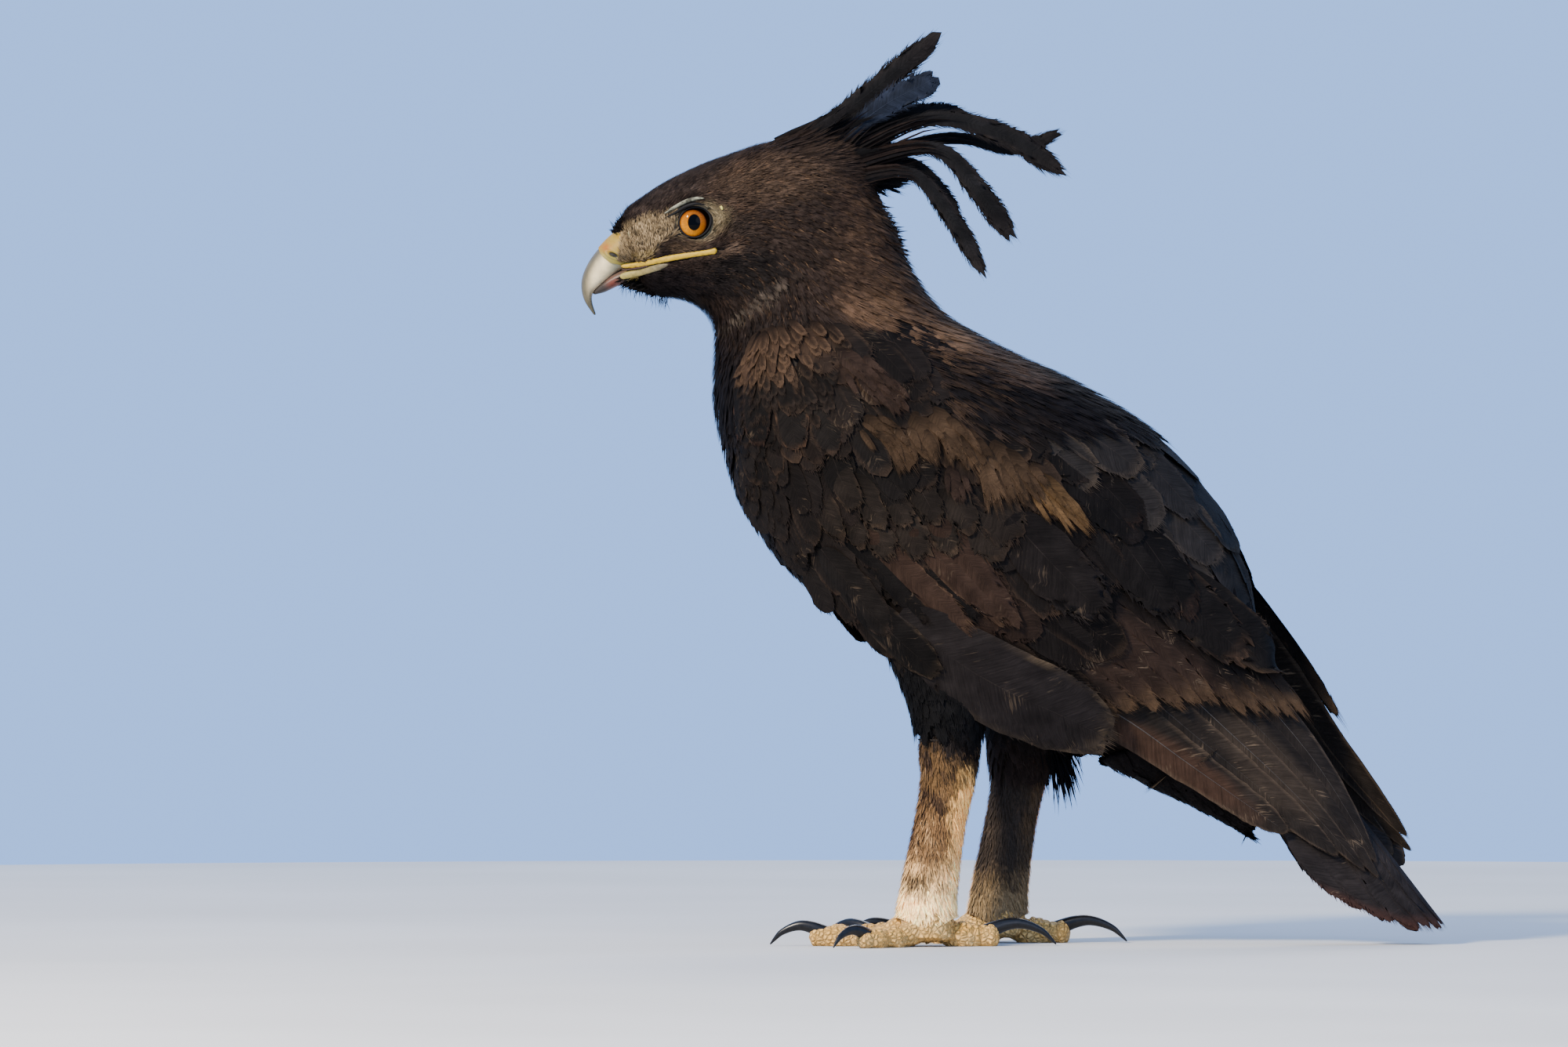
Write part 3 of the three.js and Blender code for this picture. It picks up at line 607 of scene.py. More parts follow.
def hairs(root, way, length, sag=(0, 0, 0), p=0.5, q=0.5, steps=6):
    """Free hairs: straight from their roots, bent by sag * share^2, each facing a slightly other way."""
    count = len(root)
    s = np.linspace(0, 1, steps)[None, :, None]
    length = np.broadcast_to(np.asarray(length, float), (count,))
    reach = length[:, None, None]
    place = root[:, None] + unit(way)[:, None] * s * reach + np.asarray(sag, float) * s**2 * reach
    along = unit(np.gradient(place, axis=1))
    facing = unit(rng.normal(0, 0.5, (count, 1, 3)) + np.array([0, -1.0, 0]))
    p, q = np.broadcast_to(p, (count,)), np.broadcast_to(q, (count,))
    return Lines(place, along, in_surface(facing, along), length, p, q)


# ---- Pieces ----
def mesh_piece(name, points, triangles, material, maps=None, tints=None, replaces=()):
    """A mesh from whole arrays, in metres in the frame, which rides on the bird."""
    mesh = bpy.data.meshes.new(name)
    points = (np.asarray(points, float).reshape(-1, 3) + SHIFT) * MM
    triangles = np.asarray(triangles, np.int32).reshape(-1, 3)
    corners = triangles.ravel()
    mesh.vertices.add(len(points))
    mesh.vertices.foreach_set("co", points.astype(np.float32).ravel())
    mesh.loops.add(triangles.size)
    mesh.loops.foreach_set("vertex_index", corners)
    mesh.polygons.add(len(triangles))
    mesh.polygons.foreach_set("loop_start", np.arange(0, triangles.size, 3, dtype=np.int32))
    mesh.polygons.foreach_set("use_smooth", np.full(len(triangles), True))
    for map_name, values in (maps or {}).items():
        layer = mesh.uv_layers.new(name=map_name)
        layer.uv.foreach_set("vector", np.asarray(values, np.float32).reshape(-1, 2)[corners].ravel())
    if tints is not None:
        layer = mesh.color_attributes.new(name="tint", type="FLOAT_COLOR", domain="POINT")
        tints = np.clip(np.asarray(tints, float).reshape(-1, 3), 0, 1)
        rgba = np.concatenate([tints, np.ones((len(points), 1))], 1)
        layer.data.foreach_set("color", rgba.astype(np.float32).ravel())
    mesh.update()
    mesh.validate()
    mesh.materials.append(material)
    piece = bpy.data.objects.new(name, mesh)
    bpy.context.scene.collection.objects.link(piece)
    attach(piece, "root")
    if replaces:
        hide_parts(*replaces)


class Shell:
    """Closed parts gathered into one piece: their points, triangles and tints."""

    def __init__(self):
        self.points, self.triangles, self.tints, self.size = [], [], [], 0

    def add(self, points, triangles, tint):
        points = points.reshape(-1, 3)
        self.points.append(points)
        self.triangles.append(triangles + self.size)
        self.tints.append(np.broadcast_to(tint, points.shape))
        self.size += len(points)

    def build(self, name, slot, material, replaces, place_map=None):
        points, triangles, tints = (np.concatenate(a) for a in (self.points, self.triangles, self.tints))
        maps = {"OFBake": place_map(points)} if place_map else None
        mesh_piece(name, points, triangles, material, maps, tints, replaces)


# A coat starts a new piece before its triangles pass this number, unless one group alone has more.
MOST = 185000


class Coat:
    """A growing piece of coat: feathers are added as arrays and built as one mesh, or as a few within MOST."""

    def __init__(self, name, slot, material, replaces=()):
        self.name, self.slot, self.material, self.replaces = name, slot, material, replaces
        self.groups, self.size = [], 0

    def add(self, lines, pattern, points, tint, half, patch=0.003, spot=None):
        """Adds the feathers at those points. On the OFBake map each is a patch at its root's place."""
        count, each = points.shape[:2]
        home = np.stack([lines.p, lines.q % 1.0], 1) if spot is None else spot
        half = np.broadcast_to(np.asarray(half, float), (count,))
        share = pattern.share - 0.5 + 0 * points[..., 0]
        local = np.stack([np.broadcast_to(pattern.across * 0.5, (count, each)), share], -1)
        size = np.broadcast_to(np.asarray(patch, float), (2,))
        bake = 0.01 + 0.98 * home[:, None] + local * size
        vane = np.stack([pattern.across * half[:, None], pattern.share * lines.length[:, None]], -1) / 100
        tint = np.broadcast_to(tint, points.shape)
        triangles = pattern.triangles[None] + (np.arange(count) * each)[:, None, None]
        fields = ((points, 3), (triangles, 3), (tint, 3), (vane, 2), (bake, 2))
        group = tuple(values.reshape(-1, width) for values, width in fields)
        if self.size + len(group[1]) > MOST and self.groups:
            self.build()
        self.groups.append(group)
        self.size += len(group[1])

    def hair(self, lines, pattern, half, base, edge=1.0, root=0.5, low=0.0, high=0.0, camber=0.0, ragged=0.0):
        """Lays and adds plain feathers of one colour, with edge times that colour at their rims, darker at their
        roots as painted shade.
        """
        points = lay(lines, pattern, half, low, high, camber, ragged=ragged)
        self.add(lines, pattern, points, dress(pattern, base, base * edge, root=root), half)

    def build(self):
        if not self.groups:
            return
        start, stack = 0, []
        for points, triangles, *_ in self.groups:
            stack.append(triangles + start)
            start += len(points)
        points, tints, vane, bake = (np.concatenate([g[k] for g in self.groups]) for k in (0, 2, 3, 4))
        made = Coat.counts.get(self.name, 0)
        Coat.counts[self.name] = made + 1
        name = self.name if made == 0 else f"{self.name}_{made + 1}"
        maps = {"vane": vane, "OFBake": np.clip(bake, 0, 1)}
        mesh_piece(name, points, np.concatenate(stack), self.material, maps, tints, self.replaces)
        self.replaces = ()
        self.groups, self.size = [], 0


Coat.counts = {}


# ---- Finishes ----
class Finish:
    """A material made of nodes, with short calls to add and join them."""

    def __init__(self, name):
        self.material = bpy.data.materials.new(name)
        self.material.use_nodes = True
        self.tree = self.material.node_tree
        self.skin = self.tree.nodes["Principled BSDF"]

    def feed(self, socket, value):
        """Links a socket to another one, or sets its value."""
        if isinstance(value, bpy.types.NodeSocket):
            self.tree.links.new(value, socket)
        else:
            socket.default_value = value

    def node(self, kind, inputs=None, **settings):
        made = self.tree.nodes.new(kind)
        for key, value in settings.items():
            setattr(made, key, value)
        for key, value in (inputs or {}).items():
            self.feed(made.inputs[key], value)
        return made.outputs[0]

    def maths(self, operation, *values, clamp=False):
        return self.node("ShaderNodeMath", dict(enumerate(values)), operation=operation, use_clamp=clamp)

    def far(self, x, y):
        """sqrt(x^2 + y^2)."""
        squares = [self.maths("MULTIPLY", value, value) for value in (x, y)]
        return self.maths("SQRT", self.maths("ADD", *squares))

    def place(self):
        """Where a point of the piece lies, in metres."""
        return self.tree.nodes.new("ShaderNodeTexCoord").outputs["Object"]

    def split(self, vector):
        made = self.tree.nodes.new("ShaderNodeSeparateXYZ")
        self.tree.links.new(vector, made.inputs[0])
        return list(made.outputs)

    def join(self, x, y, z=0.0):
        return self.node("ShaderNodeCombineXYZ", {"X": x, "Y": y, "Z": z})

    def grain(self, vector, scale, detail, rough=0.5):
        """Noise of that scale over a vector."""
        inputs = {"Vector": vector, "Scale": scale, "Detail": detail, "Roughness": rough}
        return self.node("ShaderNodeTexNoise", inputs)

    def blend(self, factor, a, b, way="MIX"):
        made = self.tree.nodes.new("ShaderNodeMix")
        made.data_type, made.blend_type = "RGBA", way
        for key, value in ((0, factor), (6, a), (7, b)):
            self.feed(made.inputs[key], value)
        return made.outputs[2]

    def lit(self, colour, light):
        """A colour times a lightness."""
        return self.blend(1.0, colour, self.join(light, light, light), "MULTIPLY")

    def ramp(self, value, stops):
        made = self.tree.nodes.new("ShaderNodeValToRGB")
        while len(made.color_ramp.elements) < len(stops):
            made.color_ramp.elements.new(0.5)
        for element, (place, colour) in zip(made.color_ramp.elements, stops):
            element.position = place
            element.color = (*colour, 1)
        self.tree.links.new(value, made.inputs[0])
        return made.outputs[0]

    def finish(self, colour, bump=None, bump_size=0.0003, strength=0.5, **sockets):
        self.tree.links.new(colour, self.skin.inputs["Base Color"])
        if bump is not None:
            made = self.node("ShaderNodeBump", {"Height": bump, "Distance": bump_size, "Strength": strength})
            self.tree.links.new(made, self.skin.inputs["Normal"])
        for key, value in sockets.items():
            self.feed(self.skin.inputs[key.replace("_", " ")], value)
        return self.material


def feather_finish(name, barb=0.9, dust=0.0, rough=0.7, depth=0.6):
    """Feathers: their own tint, streaked along the barbs, with a fine ridge on each barb and a little dust."""
    f = Finish(name)
    tint = f.node("ShaderNodeAttribute", attribute_name="tint")
    across, along, _ = f.split(f.node("ShaderNodeUVMap", uv_map="vane"))
    lean = f.maths("MULTIPLY_ADD", f.maths("ABSOLUTE", across), -0.9, along)
    lane = f.maths("MULTIPLY", across, 9)
    streak = f.grain(f.join(f.maths("MULTIPLY", lean, 100 / barb), lane), 1.0, 4.0, 0.7)
    place = f.place()
    patchy = f.grain(place, 160.0, 4.0, 0.6)
    light = f.maths("MULTIPLY_ADD", streak, 2.0 * depth, -0.05 * depth)
    light = f.maths("MULTIPLY", light, f.maths("MULTIPLY_ADD", patchy, 0.9, 0.55))
    colour = f.lit(tint, light)
    if dust:
        specks = f.grain(f.join(f.maths("MULTIPLY", lean, 85), lane), 1.0, 3.0, 0.7)
        amount = f.maths("MULTIPLY", specks, f.grain(place, 75.0, 4.0))
        amount = f.maths("MULTIPLY_ADD", amount, 14, -4.9, clamp=True)
        amount = f.maths("MULTIPLY", amount, dust, clamp=True)
        colour = f.blend(amount, colour, (*shade(96, 80, 62), 1))
    return f.finish(colour, streak, 0.0003, 0.5, Roughness=rough, Specular_IOR_Level=0.04)


def sealed(grid, turned):
    """A closed skin over a grid of rings: each end ring becomes one point, so both poles are closed."""
    rows, columns = grid.shape[:2]
    first, last = grid[0].mean(axis=0)[None], grid[-1].mean(axis=0)[None]
    points = np.concatenate([first, grid[1:-1].reshape(-1, 3), last])
    r, c = np.meshgrid(np.arange(rows), np.arange(columns), indexing="ij")
    index = np.clip(1 + (r - 1) * columns + c, 0, len(points) - 1)
    index[0], index[-1] = 0, len(points) - 1
    beside = np.roll(index, -1, axis=1)
    first = np.stack([index[:-1], index[1:], beside[1:]], -1)[:-1].reshape(-1, 3)
    second = np.stack([index[:-1], beside[1:], beside[:-1]], -1)[1:].reshape(-1, 3)
    triangles = np.concatenate([first, second])
    return points, triangles if turned > 0 else triangles[:, ::-1]


# ---- Plumage colours, by place on the bird ----
DARK, HEAD = shade(44, 33, 28), shade(43, 34, 29)
BLACKISH, TAN, SAND = shade(30, 25, 24), shade(128, 98, 70), shade(180, 154, 115)
# Soft patches on the side of the body and head: middle x, z, half sizes, tilt in degrees, colour, strength.
BODY_PATCHES = [
    (-58, 290, 34, 8.5, -22, shade(112, 86, 65), 0.9),
    (-14, 271, 22, 6, -28, shade(76, 61, 51), 0.6),
    (-60, 326, 30, 42, 0, shade(66, 50, 38), 0.75),
    (-116, 352, 34, 12, 12, shade(76, 60, 47), 0.75),
    (-157, 346, 24, 6, 33, shade(58, 48, 41), 0.7),
    (-127, 309, 24, 9, 15, shade(24, 21, 20), 0.85),
    (-112, 290, 16, 8, 10, shade(34, 28, 25), 0.7),
    (-121, 297.5, 22, 1.9, 38, shade(84, 74, 63), 0.7),
    (-168, 300, 26, 9, 8, shade(24, 20, 20), 0.85),
    (-135, 330, 14, 8, 0, shade(54, 45, 38), 0.5),
    (-153, 320.5, 10, 3.4, 12, shade(70, 56, 42), 0.7),
    (-134.5, 317.5, 6, 1.8, 25, shade(86, 70, 57), 0.7),
]


def patches(point, base, spots):
    """The base colour with each soft elliptic patch laid over it, fading at its rim."""
    for x, z, wide, high, tilt, colour, strength in spots:
        r = oval(point[..., 0] - x, point[..., 2] - z, wide, high, tilt)
        w = strength * (1 - ease(0.65, 1.2, r + 0.18 * noise(point, 7, 3)))
        base = mix(base, colour, w[..., None])
    return base


# The lore's lower and upper limits: x, then z.
LORE_FLOOR = [-182, -168, -163.3, -160.5, -153], [312.4, 314.6, 320.3, 323.4, 324.5]
LORE_ROOF = [-182, -179, -173.3, -168.3, -163.3, -160.5, -150], [327.5, 329.4, 332.6, 334, 333.6, 334.6, 338]


def lore_share(point):
    """1 on the bare-looking sandy skin between cere and eye, which lies over the gape and under the brow."""
    x, z = point[..., 0], point[..., 2]
    floor, roof = np.interp(x, *LORE_FLOOR), np.interp(x, *LORE_ROOF)
    return ease(-0.6, 2.2, z - floor) * ease(-0.8, 1.8, roof - z) * (1 - ease(-158, -152, x))


def eye_ring_share(point):
    """1 on the olive skin behind and above the eye."""
    x, z = point[..., 0] - EYE["x"] - 1.5, point[..., 2] - EYE["z"]
    ring = np.hypot(x, z)
    crescent = (1 - ease(8.5, 12.5, ring)) * ease(-3, 3, x) * ease(-8, -3, z)
    return 0.8 * crescent + 0.5 * (1 - ease(8.6, 10.2, ring))


def plumage(point):
    """The coat's own colour at places on head, neck and trunk."""
    soft = noise(point, 16, 1)[..., None] * 0.5 + noise(point, 6, 2)[..., None] * 0.5
    forward = 1 - ease(-60, -20, point[..., 0])
    up = ease(255, 300, point[..., 2])
    base = mix(shade(21, 18, 18), HEAD, (forward * up)[..., None])
    base = base * (1 + 0.3 * soft)
    base = patches(point, base, BODY_PATCHES)
    breast = (1 - ease(-125, -95, point[..., 0])) * (1 - ease(255, 290, point[..., 2]))
    base = mix(base, shade(22, 19, 19), 0.9 * breast[..., None])
    base = mix(base, shade(122, 108, 82) * (1 + 0.3 * soft), eye_ring_share(point)[..., None])
    sand = SAND * (1 + 0.5 * soft) * mix(1.0, 0.72, ease(-172, -158, point[..., 0]))[..., None]
    return mix(base, sand, lore_share(point)[..., None])


def on_shaft(pattern, tint, colour, share):
    """The tint with a share of the shaft's own colour along it, which a rim below 0 marks."""
    return np.where((pattern.rim < 0)[None, :, None], mix(tint, colour, share), tint)


def dress(pattern, base, edge, root=0.5, start=0.62, strength=0.8, mottle=0.12):
    """Each feather's colours: darker at its root as painted shade where other feathers cover it, its own colour, then
    its edge colour towards rim and tip.
    """
    s, rim = pattern.share, pattern.rim
    # Painted shade: the root share darkens each feather towards its root, where other feathers cover it.
    body = base[:, None] * mix(root, 1.0, ease(0.0, 0.45, s))[None, :, None]
    at_rim = ease(start, 1.0, np.clip(rim, 0, 1)) * ease(0.25, 0.6, s)
    near = np.maximum(at_rim, ease(0.72 + start * 0.2, 1.0, s))
    near = np.where(rim < 0, 0.0, near)[None, :, None] * strength
    colour = on_shaft(pattern, mix(body, edge[:, None], near), shade(78, 68, 60), 0.25)
    return colour * (1 + mottle * (rng.random((len(base), len(s), 1)) - 0.5) * 2)


def varied(colour, amount, count=None):
    """A colour for each feather, a little lighter or darker than the given one."""
    colour = np.asarray(colour, float)
    if colour.ndim == 1:
        colour = np.broadcast_to(colour, (count, 3))
    return colour * (1 + amount * (rng.random((len(colour), 1)) * 2 - 1))


def repeated(p, q, times):
    """Each place as many times over."""
    return np.repeat(p, times), np.repeat(q, times)


# ---- The bird's forms ----
body = Form(body_place, 300, 181, closed=True)
wings = {side: Form(wing_place(side), 140, 70, facing=(0, side, 0)) for side in (-1, 1)}
mantles = {side: Form(mantle_place(side), 120, 80, facing=(0.1, side * 0.6, 0.8)) for side in (-1, 1)}
tail = Form(tail_place, 80, 61, facing=(0.5, 0, 0.9))
undertail = Form(loft(UNDERTAIL, 0.06, 0.06), 60, 49, closed=True)
backs = {-1: 0.0, 1: RIGHT_BACK}
thighs, shanks = {}, {}
for side, _ in SIDES:
    place = loft(THIGH, 0.2, 0.02, across=side * HALF_STANCE, back=backs[side])
    thighs[side] = Form(place, 60, 61, closed=True)
    shanks[side] = Form(loft(SHANK, 0.03, 0.1, 2, side * HALF_STANCE, backs[side]), 90, 61, closed=True)
wing_spots = wings[-1].fields[8:125:6, 10:62:6, 0:3].reshape(-1, 3)


def under_wing(point, margin=9.0):
    """True where a place on the trunk lies well under a folded wing."""
    gap = np.hypot(point[:, None, 0] - wing_spots[None, :, 0], point[:, None, 2] - wing_spots[None, :, 2])
    return (gap.min(axis=1) < margin) & (np.abs(point[:, 1]) > 20)


COAT_DEPTH = {"trunk": 5.0, "face": 1.3, "thigh": 3.0, "shank": 1.0, "undertail": 3.0, "wing": 3.2}


def coat_depth(point):
    """How far the skin lies inside the coat's surface: least on the face, most on neck and trunk."""
    x, z = point[..., 0], point[..., 2]
    return mix(COAT_DEPTH["trunk"], COAT_DEPTH["face"], (1 - ease(-150, -95, x)) * ease(285, 305, z))


# ---- Skin: one mesh under the whole coat ----
def closed_form(form, depth=0.0):
    """The form's own grid moved in by the depth, with its two poles closed."""
    grid = form.fields[:, :-1]
    return sealed(grid[..., 0:3] - grid[..., 9:12] * np.asarray(depth)[..., None], form.turned)


def tube(points, radii, rows, columns, end=0.04):
    """A round limb: a curve through the points with radii (sideways, upwards) at each share, and round ends."""
    points = np.asarray(points, float)
    up, lateral = np.array([0, 0, 1.0]), np.array([0, 1.0, 0])

    def place(p, q):
        share = crowded(p)
        size = rounded(share, end) * rounded(1 - share, end)
        centre = curve(points, share)
        along = unit(curve(points, np.minimum(share + 1e-3, 1)) - curve(points, np.maximum(share - 1e-3, 0)))
        side = np.cross(up, along)
        side = np.where(np.linalg.norm(side, axis=-1, keepdims=True) < 0.2, lateral, side)
        side = unit(side)
        rise = unit(np.cross(along, side))
        wide, high = radii(share)
        turn = 2 * np.pi * q
        sideways, upwards = size * wide * np.cos(turn), size * high * np.sin(turn)
        return centre + side * sideways[..., None] + rise * upwards[..., None]

    return Form(place, rows, columns + 1, closed=True)


def build_skin():
    """The skin lies inside the coat by the coat's depth, tinted darker than it as painted shade where it shows
    between feathers, with the eyes' folds.
    """
    skin = Shell()
    # Each skin tint is the coat's colour darkened: painted shade for the gaps between feathers.
    points, triangles = closed_form(body, coat_depth(body.fields[:, :-1, 0:3]))
    skin.add(points, triangles, plumage(points) * 0.5)
    for side, _ in SIDES:
        skin.add(*closed_form(thighs[side], COAT_DEPTH["thigh"]), DARK * 0.3)
        points, triangles = closed_form(shanks[side], COAT_DEPTH["shank"])
        skin.add(points, triangles, shank_colour(points) * 0.6)
        skin.add(*wing_core(side), DARK * 0.35)
    skin.add(*closed_form(undertail, COAT_DEPTH["undertail"]), BLACKISH * 0.4)
    for side, _ in SIDES:
        for form, tint in eye_folds(side):
            points, triangles = closed_form(form)
            skin.add(points, triangles, tint(points))
    nodes = ["head", "neck", "trunk", "undertail_coverts"]
    nodes += [f"{part}_{word}" for part in ("thigh", "shank", "wing") for _, word in SIDES]
    f = Finish("bare_skin")
    tint = f.node("ShaderNodeAttribute", attribute_name="tint")
    fine = f.grain(f.place(), 1400.0, 4.0)
    material = f.finish(tint, fine, 0.0002, 0.5, Roughness=0.65, Specular_IOR_Level=0.15)
    skin.build("skin", "plumage", material, nodes, lambda points: (points[:, [0, 2]] - (-200, 0)) / 420)


def wing_core(side):
    """The feathered arm under the coverts: a closed slab that lies inwards of the coat's depth.

    Each ring is a rounded oblong, signed powers of a cosine and a sine, and the slab thins out along the wing.
    """
    rows, columns = 60, 48
    start, end = 0.015, 0.56
    u = np.linspace(start, end, rows)[:, None] + np.zeros((1, columns))
    turn = 2 * np.pi * np.arange(columns)[None, :] / columns + np.zeros((rows, 1))
    v = 0.5 + 0.47 * np.sign(np.cos(turn)) * np.abs(np.cos(turn)) ** 0.6
    point, _, _, normal = wings[side].at(u, v)
    whole = mix(SECONDARIES["thick"], SECONDARIES["thin"], np.minimum(1, u * 1.3))
    thick = np.maximum(0.4, (whole - 3.0) / 2) * np.sqrt(np.minimum(1, 0.12 + u / 0.06))
    thick = thick * rounded(1 - (u - start) / (end - start), 0.1)
    bulge = np.sign(np.sin(turn)) * np.abs(np.sin(turn)) ** 0.6
    points = point - normal * (COAT_DEPTH["wing"] + thick * (1 - bulge))[..., None]
    middle = points.mean(axis=1, keepdims=True)
    down, across = np.gradient(points, axis=0), np.roll(points, -1, 1) - points
    return sealed(points, np.sum(np.cross(down, across) * (points - middle)))


def past_shank(point, back):
    """How far a place lies behind the line down the middle of a shank, x = back - 41.5 + 0.125 z."""
    return point[..., 0] - back + 41.5 - 0.125 * point[..., 2]


def shank_colour(point):
    """Mottled shank feathers, mixed by height and by place across the shank.

    Brown with dark streaks in front, golden behind (partly its own colour, partly painted sunlight), cream at the
    foot, dark above, and dark on the inner face as painted shade from the body over a guessed darker colour.
    """
    z, right = point[..., 2], point[..., 1] > 0
    behind = past_shank(point, np.where(right, RIGHT_BACK, 0)) / 12
    slant = np.stack([point[..., 0] + 0.45 * z, point[..., 1], point[..., 2] * 0.4], -1)
    streak, fine = noise(slant, 4.5, 11), noise(slant, 1.8, 12)
    # The golden, which shows behind the brown front, is partly the feathers' own colour and partly painted sunlight.
    colour = mix(shade(255, 212, 146), shade(248, 184, 100), ease(24, 62, z)[..., None] * 0.9)
    front = ease(28, 44, z + 7 * streak) * (1 - ease(0.05, 0.55, behind + 0.3 * streak + 0.15 * fine))
    brown = mix(shade(82, 59, 40), shade(44, 33, 25), ease(62, 82, z + 4 * streak)[..., None])
    colour = mix(colour, brown, front[..., None] * 0.94)
    spots = ease(0.1, 0.5, 0.8 * fine + 0.7 * streak + 0.24) * ease(22, 34, z)
    spots = spots * (1 - 0.75 * ease(0.3, 0.8, behind))
    colour = mix(colour, shade(44, 32, 24), (spots * mix(0.8, 0.9, front))[..., None])
    pale = ease(0.15, 0.6, fine - 0.5 * streak) * front * ease(0.2, -0.6, behind)
    pale = pale * mix(0.3, 1, ease(84, 62, z))
    colour = mix(colour, shade(190, 148, 98), pale[..., None] * 0.6)
    high = ease(-7, 6, z - (88.5 - 9 * np.clip(behind, -1, 1)) + 6 * streak + 3 * fine)
    colour = mix(colour, shade(24, 21, 20), high[..., None] * 0.96)
    # Painted shade: the inner face, towards the other leg, is darkened over a guessed darker colour.
    inner = ease(-0.1, 0.3, (HALF_STANCE - np.abs(point[..., 1])) / 14) * (0.86 + 0.11 * ease(22, 46, z))
    return mix(colour, shade(40, 35, 31), inner[..., None])


# ---- Head and neck ----
feather_look = feather_finish("small_feathers", barb=0.8)
hair_look = feather_finish("fine_feathers", barb=2.0)
shank_look = feather_finish("shank_feathers", barb=2.0, depth=1.3)


def round_the_eye(point, way):
    """Bends the lie of the feathers round the eye, as a stream bends round a pillar."""
    side = np.sign(point[:, 1:2])
    middle = np.concatenate([0 * side + EYE["x"], side * 24, 0 * side + EYE["z"]], 1)
    away = point - middle
    far = np.linalg.norm(away, axis=1, keepdims=True)
    out = away / np.maximum(far, 1e-6)
    pull = np.clip((9.5 / np.maximum(far, 8)) ** 2, 0, 0.9)
    return unit(way - pull * (2 * np.sum(way * out, 1, keepdims=True) * out - way))


def gape_gap(point):
    """Distance below (negative) or above the yellow edge of the mouth, or 99 behind its corner."""
    share = (point[..., 0] - GAPE["from"][0]) / (GAPE["to"][0] - GAPE["from"][0])
    level = mix(GAPE["from"][1], GAPE["to"][1], np.clip(share, 0, 1))
    return np.where((share < -0.05) | (share > 1.0), 99.0, point[..., 2] - level)


def neck_flow(point, down):
    """The lie of head and neck feathers: along the body, turning back and level over the lower neck."""
    turn = ease(-112, -78, point[:, 0]) * ease(262, 285, point[:, 2]) * (1 - ease(335, 360, point[:, 2]))
    return unit(unit(down) + turn[:, None] * np.array([1.5, 0, -0.1]))


def grow_head():
    """Fine tufts of four strands each, shortest at the bill and longest on the nape."""
    coat = Coat("coat_head", "plumage", hair_look)

    def spacing(point):
        return mix(1.05, 1.6, ease(-172, -95, point[..., 0]))

    def keep(point):
        x, y, z = point[:, 0], point[:, 1], point[:, 2]
        eye = (np.hypot(x - EYE["x"], z - EYE["z"]) < EYE["bare"]) & (np.abs(y) > 12)
        mouth = (gape_gap(point) < 1.1) & (gape_gap(point) > -1.4) & (x < -137.5)
        skin = (gape_gap(point) < 0) & (gape_gap(point) > -6 + 0.22 * (x + 178)) & (x < -164)
        bill = (x < -182.5) & ((z < 325.5) | (x < -188))
        return ~eye & ~bill & ~mouth & ~skin

    p, q = scatter(body, spacing, (0.0, 0.45), (0, 1), keep)
    p, q = repeated(p, q, 4)
    p = np.clip(p + rng.normal(0, 0.0016, len(p)), 0, 1)
    point, down, _, normal = body.at(p, q)
    way = round_the_eye(point, neck_flow(point, down))
    back = ease(-172, -80, point[:, 0])
    lore = lore_share(point)
    length = mix(4.2, 12.0, back) * (0.7 + 0.6 * rng.random(len(p))) * mix(1, 0.5, lore)
    side = unit(np.cross(normal, way))
    way = unit(way + lore[:, None] * np.array([-0.9, 0, 1.1]))
    heading = way + side * rng.normal(0, 0.13, (len(p), 1))
    lines = walk(body, p, q, heading, length, 3, rng.normal(0, 0.12, len(p)))
    half = mix(0.26, 0.42, back) * (0.7 + 0.6 * rng.random(len(p))) * mix(1, 0.7, lore)
    deep = coat_depth(point)
    nape = ease(-85, -60, point[:, 0])
    high = 0.1 + 0.35 * rng.random(len(p)) + nape * rng.random(len(p)) ** 3 * 3.0
    pattern = strand()
    points = lay(lines, pattern, half, -deep * 0.85, high * mix(1, 0.8, lore), 0.0)
    clump = noise(point * [0.6, 1, 1], 2.6, 51)[:, None] * 0.5 + noise(point, 1.3, 52)[:, None] * 0.5
    front = ease(-118, -150, point[:, 0:1]) * (1 - lore[:, None])
    clump = clump + 0.8 * front * noise(point * [0.4, 1, 1], 0.9, 54)[:, None]
    base = varied(plumage(point), 0.4) * np.maximum(0.2, 1 + 0.85 * clump)
    light = ease(0.12, 0.6, noise(point * [0.45, 1, 1], 2.3, 53))[:, None] * (1 - lore[:, None])
    light = 0.55 * light * ease(-165, -115, point[:, 0:1]) * rng.random((len(p), 1))
    base = mix(base, shade(98, 74, 55), light)
    pale = (rng.random((len(p), 1)) < 0.03) * (0.3 + 0.45 * rng.random((len(p), 1))) * (1 - lore[:, None])
    base = mix(base, shade(126, 98, 72), pale * ease(-160, -110, point[:, 0:1]))
    dark = (rng.random((len(p), 1)) < 0.34) * lore[:, None] * 0.8
    base = mix(base, shade(58, 46, 34), dark)
    yellow = lore * ease(5.0, 1.2, gape_gap(point)) * ease(-150, -160, point[:, 0])
    base = mix(base, shade(196, 168, 92), (0.6 * yellow)[:, None])
    tint = dress(pattern, base, base * 1.5, root=0.5, strength=0.6)
    coat.add(lines, pattern, points, tint, half)
    coat.build()


